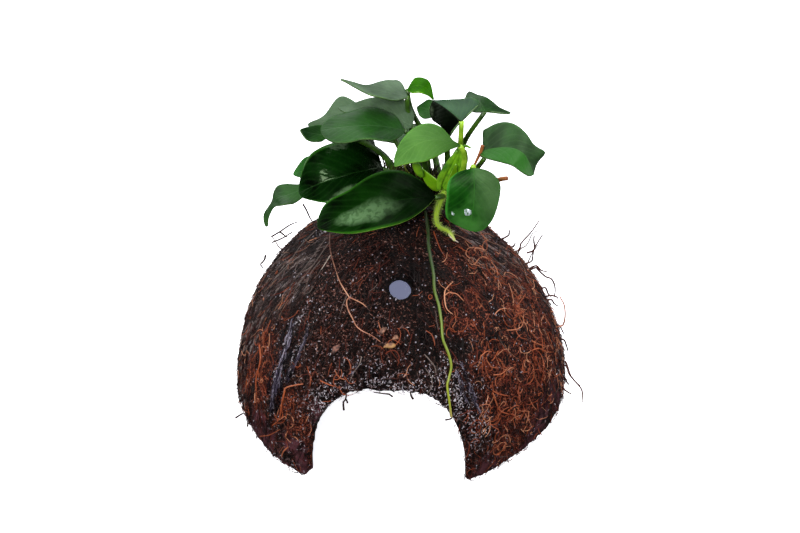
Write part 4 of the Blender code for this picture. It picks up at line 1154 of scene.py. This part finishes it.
def heading(leaf, along):
    """The way that the midrib runs here."""
    before, after = max(0.0, along - 0.01), min(1.0, along + 0.01)
    return (midrib(leaf, after) - midrib(leaf, before)).normalized()


def half_width(leaf, along, across):
    """How far the margin is from the midrib, left where across is below 0, rounded off at both ends."""
    outline = leaf.right if leaf.right and across >= 0.0 else leaf.left
    end = min(1.0, min(along, 1.0 - along) / ROUNDED_END)
    return max(LEAST_HALF_WIDTH, curve_at(outline, along) * math.sqrt(1.0 - (1.0 - end) ** 2))


def blade_point(leaf, along, across):
    """A point of the blade's middle surface. Across runs from -1 at one margin to 1 at the other."""
    forward = heading(leaf, along)
    right = forward.cross(look(leaf)).normalized()
    up = right.cross(forward)
    reach = half_width(leaf, along, across)
    side = across * reach
    fold = math.radians(leaf.fold[across > 0.0]) * min(1.0, reach / FOLDED_HALF_WIDTH)
    rise = abs(side) * math.sin(fold) + leaf.cup * side * side / CUPPED_SPAN
    phase = 2.0 * math.pi * (WAVES * along + WAVE_BY_NAME * len(leaf.name))
    phase += WAVE_OF_RIGHT_HALF if across > 0 else 0.0
    rise += leaf.wave * math.sin(phase) * across * across * min(1.0, 4.0 * along * (1.0 - along))
    return midrib(leaf, along) + right * side * math.cos(fold) + up * rise


def blade_mesh(leaf, name, finish):
    """The blade as a fine grid with its thickness, its UVs running across and along it."""
    mesh = bmesh.new()
    bmesh.ops.create_grid(mesh, x_segments=ALONG_STEPS, y_segments=ACROSS_STEPS, size=1.0)
    uv = mesh.loops.layers.uv.new("UVMap")
    for face in mesh.faces:
        for loop in face.loops:
            loop[uv].uv = ((loop.vert.co.y + 1.0) / 2.0, (loop.vert.co.x + 1.0) / 2.0)
    for v in mesh.verts:
        share = (v.co.x + 1.0) / 2.0
        along = 0.5 - 0.5 * math.cos(math.pi * share)
        v.co = (blade_point(leaf, along, v.co.y) + AXIS) * MM
    blade = made_piece(name, mesh)
    bpy.context.scene.collection.objects.link(blade)
    data = blade.data
    centre = data.polygons[len(data.polygons) // 2]
    turned = centre.normal.dot(look(leaf)) < 0.0
    body = blade.modifiers.new("thickness", "SOLIDIFY")
    body.thickness = BLADE_THICKNESS * MM
    body.offset = 0.0
    body.material_offset = 1
    body.material_offset_rim = 2
    for skin in (finish.under, finish.upper) if turned else (finish.upper, finish.under):
        data.materials.append(skin)
    data.materials.append(finish.rim)
    finished_mesh(blade).shade_smooth()
    return blade


SIDE_VEINS = 11.0
VEIN_SWEEP = 0.62
VEIN_PALENESS = 0.08
CLOUD_MM = 9.09
RIPPLE_MM = 4.55
CRINKLE_MM = 1.9


def blade_skin(name, deep, fresh, vein, margin, roughness, shine=0.25, left=None, right=None, base=None,
               painted_light_patches=()):
    """The skin of an anubias blade: a waxy cuticle with a soft sheen, over green tissue with paler veins.

    Left and right recolour one half with painted shade or painted light, and base paints shade onto the end
    at the stalk. Each painted light patch is a patch of painted light on the skin: its place across and along
    the blade, its reach, its colour, and how much is left in its crinkles.
    """
    tree, shader, made = new_material(name, {
        "Roughness": roughness, "Specular IOR Level": shine, "Specular Tint": linear("#b4d6a8"),
        "Subsurface Weight": 0.08, "Subsurface Radius": (0.3 * MM, 0.6 * MM, 0.1 * MM)})
    sheet = add(tree, "UVMap", uv_map="UVMap")
    axes = add(tree, "SeparateXYZ", {0: sheet}).node.outputs
    centred = add(tree, "Math", {0: axes[0], 1: 0.5}, operation="SUBTRACT")
    side = add(tree, "Math", {0: centred}, operation="ABSOLUTE")
    sweep = add(tree, "Math", {0: side, 1: -SIDE_VEINS * VEIN_SWEEP}, operation="MULTIPLY")
    phase = add(tree, "Math", {0: axes[1], 1: SIDE_VEINS, 2: sweep}, operation="MULTIPLY_ADD")
    wave = add(tree, "Math", {0: phase, 1: 0.5}, operation="PINGPONG")
    vein_line, rib_line = (
        add(tree, "MapRange",
            {"Value": value, "From Min": low, "From Max": high, "To Min": pale, "To Max": 0.0},
            interpolation_type="SMOOTHSTEP")
        for value, low, high, pale in (
            (wave, 0.0, 0.25, VEIN_PALENESS), (side, 0.003, 0.02, 3.0 * VEIN_PALENESS))
    )
    lines = add(tree, "Math", {0: vein_line, 1: rib_line}, operation="MAXIMUM")
    place = add(tree, "TexCoord", output="Object")
    clouds = add(tree, "TexNoise", {"Vector": place, "Scale": scale_of(CLOUD_MM), "Detail": 4.0})
    uneven = add(tree, "MapRange", {"Value": clouds, "From Min": 0.35, "From Max": 0.65})
    edge = add(tree, "MapRange", {"Value": side, "From Min": 0.44, "From Max": 0.5, "To Max": 0.7})
    layers = [(uneven, fresh), (edge, margin), (lines, vein)]
    # One half recoloured with painted shade or painted light.
    for value, low, high, colour in ((axes[0], 0.505, 0.495, left), (axes[0], 0.495, 0.505, right)):
        if colour:
            half = add(tree, "MapRange", {"Value": value, "From Min": low, "From Max": high})
            layers.append((half, colour))
    # Patches of painted light and painted reflection.
    for across, along, reach, colour, least in painted_light_patches:
        offset = add(tree, "VectorMath", {0: sheet, 1: (across, along, 0.0)}, "Value", operation="DISTANCE")
        ragged = add(tree, "Math", {0: clouds, 1: -reach * 1.5, 2: offset}, operation="MULTIPLY_ADD")
        lit = add(tree, "MapRange",
                  {"Value": ragged, "From Min": reach * 0.4, "From Max": reach * -0.25, "To Max": 0.9})
        crinkles = add(tree, "TexNoise",
                       {"Vector": place, "Scale": scale_of(CRINKLE_MM), "Detail": 2.0, "Distortion": 0.8})
        broken = add(tree, "MapRange",
                     {"Value": crinkles, "From Min": 0.4, "From Max": 0.56, "To Min": least})
        layers.append((add(tree, "Math", {0: lit, 1: broken}, operation="MULTIPLY"), colour))
    # Painted shade towards the stalk.
    if base:
        near = add(tree, "MapRange", {"Value": axes[1], "From Min": 0.65, "From Max": 0.1})
        layers.append((near, base))
    skin = linear(deep)
    for share, colour in layers:
        skin = add(tree, "Mix", {"Factor": share, "A": skin, "B": linear(colour)}, "Result",
                   data_type="RGBA")
    tree.links.new(skin, shader.inputs["Base Color"])
    ripples = add(tree, "TexNoise", {"Vector": place, "Scale": scale_of(RIPPLE_MM), "Detail": 3.0})
    sunk = add(tree, "Math", {0: ripples, 1: lines}, operation="SUBTRACT")
    bump = add(tree, "Bump", {"Height": sunk, "Strength": 0.35, "Distance": 0.8 * MM})
    tree.links.new(bump, shader.inputs["Normal"])
    return made


Finish = namedtuple("Finish", "upper under rim slot")
# The rim of a blade, thin and paler than the rest, and its underside, lighter and duller than the upper side.
old_rim = living_skin("old_leaf_rim", (0.35, "#2c4a1e"), (0.65, "#4f7238"), roughness=0.5)
pale_rim = living_skin("pale_leaf_rim", (0.35, "#5a9222"), (0.65, "#8fbc4a"))
old_under = blade_skin("old_leaf_underside", "#1f4a10", "#34681a", "#6a9046", "#3f7a1e", 0.45)
young_under = blade_skin("young_leaf_underside", "#4a8418", "#5f9a24", "#8ab850", "#6aa82c", 0.45)
# What the upper skins below go with: an old leaf with a dull or a pale rim, and a young leaf.
OLD = (old_under, old_rim, "leaf_dark_green")
PALE_RIMMED = (old_under, pale_rim, "leaf_dark_green")
YOUNG = (young_under, pale_rim, "leaf_young_green")
FINISHES = {
    # Wet and nearly black green, with a painted reflection of the pale sky on the near half, and painted
    # shade towards the stalk.
    "painted_sky": Finish(blade_skin("filmed_old_leaf", "#010601", "#0a2a05", "#2c5624", "#3a7a20", 0.28, 0.03,
                                base="#020802", painted_light_patches=((0.36, 0.55, 0.19, "#56764f", 0.5),)), *PALE_RIMMED),
    # The glossiest blade, with a small painted highlight on it and painted shade towards the stalk.
    "glossy": Finish(blade_skin("glossy_old_leaf", "#010501", "#082806", "#2c5624", "#2f6a1a", 0.16, 0.16,
                                base="#000300", painted_light_patches=((0.13, 0.5, 0.1, "#5f7f58", 0.4),)), *PALE_RIMMED),
    # Dry and matt, a deep even green.
    "matt": Finish(blade_skin("matt_old_leaf", "#0b260b", "#1a4212", "#40643a", "#2a5220", 0.42), *OLD),
    # Painted sheen: a dull grey green colour that stands for the pale sky mirrored on a rough cuticle.
    "grey": Finish(blade_skin("bloomed_old_leaf", "#30442f", "#4a6048", "#627660", "#3c5638", 0.5), *OLD),
    # Wet and smooth, with painted light: paler to the tip and down the right side, where it turns to the
    # light, and a grey green painted sheen near the base.
    "wet": Finish(blade_skin("wet_old_leaf", "#052406", "#15500e", "#3f8a2e", "#48a038", 0.38, 0.1,
                             painted_light_patches=((0.5, 1.02, 0.5, "#3c7430", 0.9), (0.02, 0.2, 0.55, "#43643a", 0.95))),
                  *OLD),
    # Painted shade: the lower half hangs down into the shade and is coloured nearly black.
    "half_shaded": Finish(blade_skin("hanging_old_leaf", "#22382a", "#34503a", "#46683a", "#2a5220", 0.4, 0.2,
                                     left="#000200"), *OLD),
    # Painted light: the near half hangs with the light behind it, and is coloured the fresh green of lit
    # tissue.
    "half_lit": Finish(blade_skin("folded_old_leaf", "#1a2e18", "#2c4a28", "#46683a", "#2a5220", 0.45,
                                  right="#24561a"), *OLD),
    # Young leaves: thin soft skin, a lighter green that lets light through.
    # The fresh young blade darkens towards its stalk in painted shade.
    "fresh": Finish(blade_skin("young_leaf", "#365f22", "#4a7632", "#6f9a4e", "#4f8a2a", 0.5, 0.2,
                               base="#264a14"), *YOUNG),
    "shaded_young": Finish(blade_skin("young_leaf_in_shade", "#0f3a0c", "#1f5a18", "#3c7a30", "#2c701e", 0.5),
                           old_under, old_rim, "leaf_young_green"),
    "new": Finish(blade_skin("new_leaf", "#1c4a00", "#2f6c00", "#4a9010", "#3f8008", 0.5, 0.05), *YOUNG),
}

for leaf in LEAVES:
    finish = FINISHES[leaf.finish]
    show(blade_mesh(leaf, "blade_" + leaf.name, finish), "leaf_" + leaf.name, slot=finish.slot)

# Two drops of water on the front right blade, each as its share along, its share across and its radius.
DROPS = ((0.69, 0.16, 1.15), (0.78, 0.7, 0.55))
DROP_FLATNESS = 0.28
DROP_RAGGEDNESS = 0.35
SHIVER_MM = 1.11
wet_leaf = next(leaf for leaf in LEAVES if leaf.name == "front_right")
mesh = bmesh.new()
for along, across, radius in DROPS:
    at = blade_point(wet_leaf, along, across)
    ahead = (blade_point(wet_leaf, along + 0.02, across) - at).normalized()
    side = (blade_point(wet_leaf, along, across + 0.05) - at).normalized()
    out = side.cross(ahead)
    if out.dot(look(wet_leaf)) < 0.0:
        out = -out
    made = bmesh.ops.create_uvsphere(mesh, u_segments=20, v_segments=12, radius=1.0)
    for v in made["verts"]:
        ragged = radius * (1.0 + DROP_RAGGEDNESS * noise.noise(v.co * 1.6 + Vector((along, across, 0.0))))
        x, y, z = v.co * ragged
        v.co = (at + ahead * x + side * y + out * (z * DROP_FLATNESS + BLADE_THICKNESS * 0.5) + AXIS) * MM
# Clear water, its colour painted with a reflection of the pale sky and the green of the leaf.
tree, shader, water = new_material("drop_of_water", {
    "Roughness": 0.05, "Transmission Weight": 0.35, "IOR": 1.33})
place = add(tree, "TexCoord", output="Object")
shiver = add(tree, "TexNoise", {"Vector": place, "Scale": scale_of(SHIVER_MM)})
mirrored = add(tree, "ValToRGB", {"Fac": shiver}, stops=((0.42, "#4c7a50"), (0.55, "#e8f4ff")))
tree.links.new(mirrored, shader.inputs["Base Color"])
drops = made_piece("water_drops", mesh, water)
drops.data.shade_smooth()
show(drops, slot="leaf_dark_green")

# The stalks
# One to a blade, round and smooth, from the stem and into line with the midrib. They are bright green, like
# celery, and swell where they leave the stem. One is the brown stub of a leaf that has dropped off.

STALK_FOOT_RADIUS = 1.3
YOUNG_FOOT_RADIUS = 2.1
STALK_TOP_RADIUS = 0.8
STALK_BEND = 0.16
STALK_LEAN = 0.4
STALK_SHORT = 0.1
LEANING_STALKS = {"top_grey": (0, 0, -1), "top_bright": (0, 0, -1), "top_right": (0, 0, -1),
                  "right_edge": (-0.5, -0.2, -0.8)}
YOUNG_STALKS = ("centre_light", "top_right", "front_right")
STALK_POINTS = 26
OLD_STALK_RADIUS = 0.75
OLD_STALK_FOOT = (20.0, 75.0)
OLD_STALK_TIP = (35.7, 0.0, 89.3)
OLD_STALK_RISE = (3.0, 0.0, 3.0)
OLD_STALK_END = (5.0, -1.0, 1.0)


def bezier(a, b, c, d, t):
    """The point this share of the way along a curve from a to d that b and c pull at."""
    s = 1.0 - t
    return a * s**3 + b * 3.0 * s * s * t + c * 3.0 * s * t * t + d * t**3


# The skin of a stalk, smooth and waxy: a glowing yellow green while it is young, and darkened as painted
# shade on the stalks of the older leaves, which stand in the shade of the others.
celery_green = living_skin("young_stalk_skin", (0.35, "#6a9c16"), (0.65, "#a4cc38"), roughness=0.35)
shaded_stalk_green = living_skin("old_stalk_skin", (0.35, "#1c380a"), (0.65, "#3f6618"), roughness=0.4)
shares = [i / (STALK_POINTS - 1) for i in range(STALK_POINTS)]
for leaf in LEAVES:
    x, turn = leaf.foot
    start = rhizome_surface(x, turn)
    forward = heading(leaf, 0.0)
    end = Vector(leaf.base) - forward * STALK_SHORT
    reach = (end - start).length
    first = start + rhizome_normal(turn) * leaf.rise
    second = end - forward * reach * STALK_BEND
    if leaf.name in LEANING_STALKS:
        second = end + Vector(LEANING_STALKS[leaf.name]) * reach * STALK_LEAN
    young = leaf.name in YOUNG_STALKS
    foot = YOUNG_FOOT_RADIUS if young else STALK_FOOT_RADIUS
    points = [bezier(start, first, second, end, share) for share in shares]
    radii = [STALK_TOP_RADIUS + (foot - STALK_TOP_RADIUS) * (1.0 - share) ** 2 for share in shares]
    stalk = stem_mesh("petiole_" + leaf.name, points, radii, celery_green if young else shaded_stalk_green, 12)
    show(stalk, "stalk_" + leaf.name, slot="stalk_green")

# Dead stalk, dried to a dull rust brown.
dry_stub = living_skin("dry_stub", (0.35, "#7a3c20"), (0.65, "#b4703c"), roughness=0.6)
x, turn = OLD_STALK_FOOT
start, end = rhizome_surface(x, turn), Vector(OLD_STALK_TIP)
first, second = start + Vector(OLD_STALK_RISE), end - Vector(OLD_STALK_END)
points = [bezier(start, first, second, end, share) for share in shares]
stub = stem_mesh("dropped_leaf_stub", points, [OLD_STALK_RADIUS] * STALK_POINTS, dry_stub, 10)
show(stub, "old_stalk", slot="old_stalk_brown")

# A dry shred of a sheath, flat, that hangs behind the front right blade.
SHRED = ((27.2, -4.5, 104.7), (26.6, -4.5, 102.0), (25.6, -4.0, 98.7), (24.6, -3.5, 95.6))
SHRED_POINTS = 20
SHRED_RADII = (0.65, 0.35)
points, radii = smooth_route(SHRED, SHRED_POINTS), thinning(*SHRED_RADII, SHRED_POINTS)
show(stem_mesh("dry_sheath_shred", points, radii, dry_stub, 8, flat=0.5), slot="old_stalk_brown")

# The sheaths
# Young sheaths, soft, bright and half rolled up, that wrap the stalks where they leave the stem. Each is a
# small blade with its sides folded up, and the narrower ones beside them are flattened tubes.

SHEATHS = (
    Leaf("left", (14, 2.5, 81.7), (7.2, -1, 92.5), 1.0, 0.5, 0, (260, 20), (25, 25), 0, 0, "new", None, 0,
         (1.2, 1.9, 2.0, 1.8, 1.4, 0.9, 0.3)),
    Leaf("middle", (16.9, 3.0, 81), (19, -5.5, 97.5), 0.5, 0.5, 0, (275, 10), (25, 25), 0, 0, "new", None, 0,
         (1.2, 1.6, 1.6, 1.4, 1.1, 0.7, 0.3)),
)
# Tissue a few days old: yellow green, soft and with light in it.
sheath_skin = blade_skin("sheath_skin", "#5f9a0c", "#86b81c", "#a8cc48", "#9cc434", 0.4, 0.2)
sheath_finish = Finish(sheath_skin, sheath_skin, pale_rim, "stalk_green")
for sheath in SHEATHS:
    wrap = blade_mesh(sheath, "wrap_" + sheath.name, sheath_finish)
    show(wrap, "sheath_" + sheath.name, slot=sheath_finish.slot)

# Narrower young wraps beside them, each as its name, its widest radius and the points it runs through.
YOUNG_WRAPS = (
    ("right_arm", 1.9, (14.9, -1.0, 85.2), (16.1, -1.0, 88.9), (17.6, -1.0, 93.4), (19.1, -1.0, 97.8),
     (19.9, -1.0, 100.9)),
    ("inner_arm", 1.1, (13.6, -2.0, 84.6), (13.9, -2.0, 88.3), (15.3, -2.0, 92.3), (17.4, -1.6, 96.6),
     (19.3, -1.4, 99.9)),
    ("column", 1.5, (15.6, -2.0, 84.8), (17.8, -2.0, 88.1), (19.9, -2.0, 92.3), (21.1, -2.0, 97.0),
     (20.3, -2.0, 101.2)),
    ("outer_edge", 0.6, (20.6, -2.5, 93.0), (22.1, -2.5, 97.0), (21.9, -2.5, 101.3)),
    ("hooked_tip", 0.5, (20.3, -2.5, 102.1), (21.9, -2.5, 102.8), (23.5, -2.5, 102.0)),
    ("small", 1.5, (5.9, -3.0, 95.7), (6.9, -3.0, 92.9), (8.1, -3.0, 90.2)),
)
WRAP_FLATNESS = 0.4
WRAP_POINTS = 20
wrap_green = living_skin("young_wrap_skin", (0.35, "#2f660a"), (0.65, "#74aa1a"), roughness=0.4)
for name, widest, *stops in YOUNG_WRAPS:
    points = smooth_route(stops, WRAP_POINTS)
    shares = [min(1.0, 0.15 + 0.8 * i / (WRAP_POINTS - 1)) for i in range(WRAP_POINTS)]
    radii = [widest * (0.3 + 0.7 * math.sin(math.pi * share)) for share in shares]
    wrap = stem_mesh("young_wrap_" + name, points, radii, wrap_green, 10, flat=WRAP_FLATNESS)
    show(wrap, slot="stalk_green")

# The loose strands
# The longest fibres of coir, which have sprung out of the husk and stand well clear of it. They are still
# rooted in the husk, dry and weathered to a grey brown.

# Foot is where the strand leaves the husk, and its points are measured from there.
Strand = namedtuple("Strand", "name foot points")
STRANDS = (
    Strand("right_high", (41.5, 18.5), ((1, 2, 2), (3, 3, 3), (4, 4, 4.5), (5, 5.5, 6.5), (7, 6.5, 7.5))),
    Strand("right_low", (45, 18), ((1, 2, 2), (2, 3.5, 4), (4, 5.5, 6.5))),
    Strand("left", (-43, 15.5), ((-2, 1, 1), (-3.5, 2.5, 2.5), (-5, 3, 4))),
)
STRAND_POINTS = 24
STRAND_RADII = (0.3, 0.15)
# Dry coir, matt, bleached by the air.
weathered_coir = living_skin("weathered_coir", (0.35, "#2f2522"), (0.65, "#6f625c"), roughness=0.5)
for strand in STRANDS:
    foot = over_shell(*strand.foot, -0.2)
    points = smooth_route([foot] + [foot + Vector(step) for step in strand.points], STRAND_POINTS)
    radii = thinning(*STRAND_RADII, STRAND_POINTS)
    long_strand = stem_mesh("long_strand_" + strand.name, points, radii, weathered_coir, 6)
    show(long_strand, "strand_" + strand.name, slot="coir_brown")
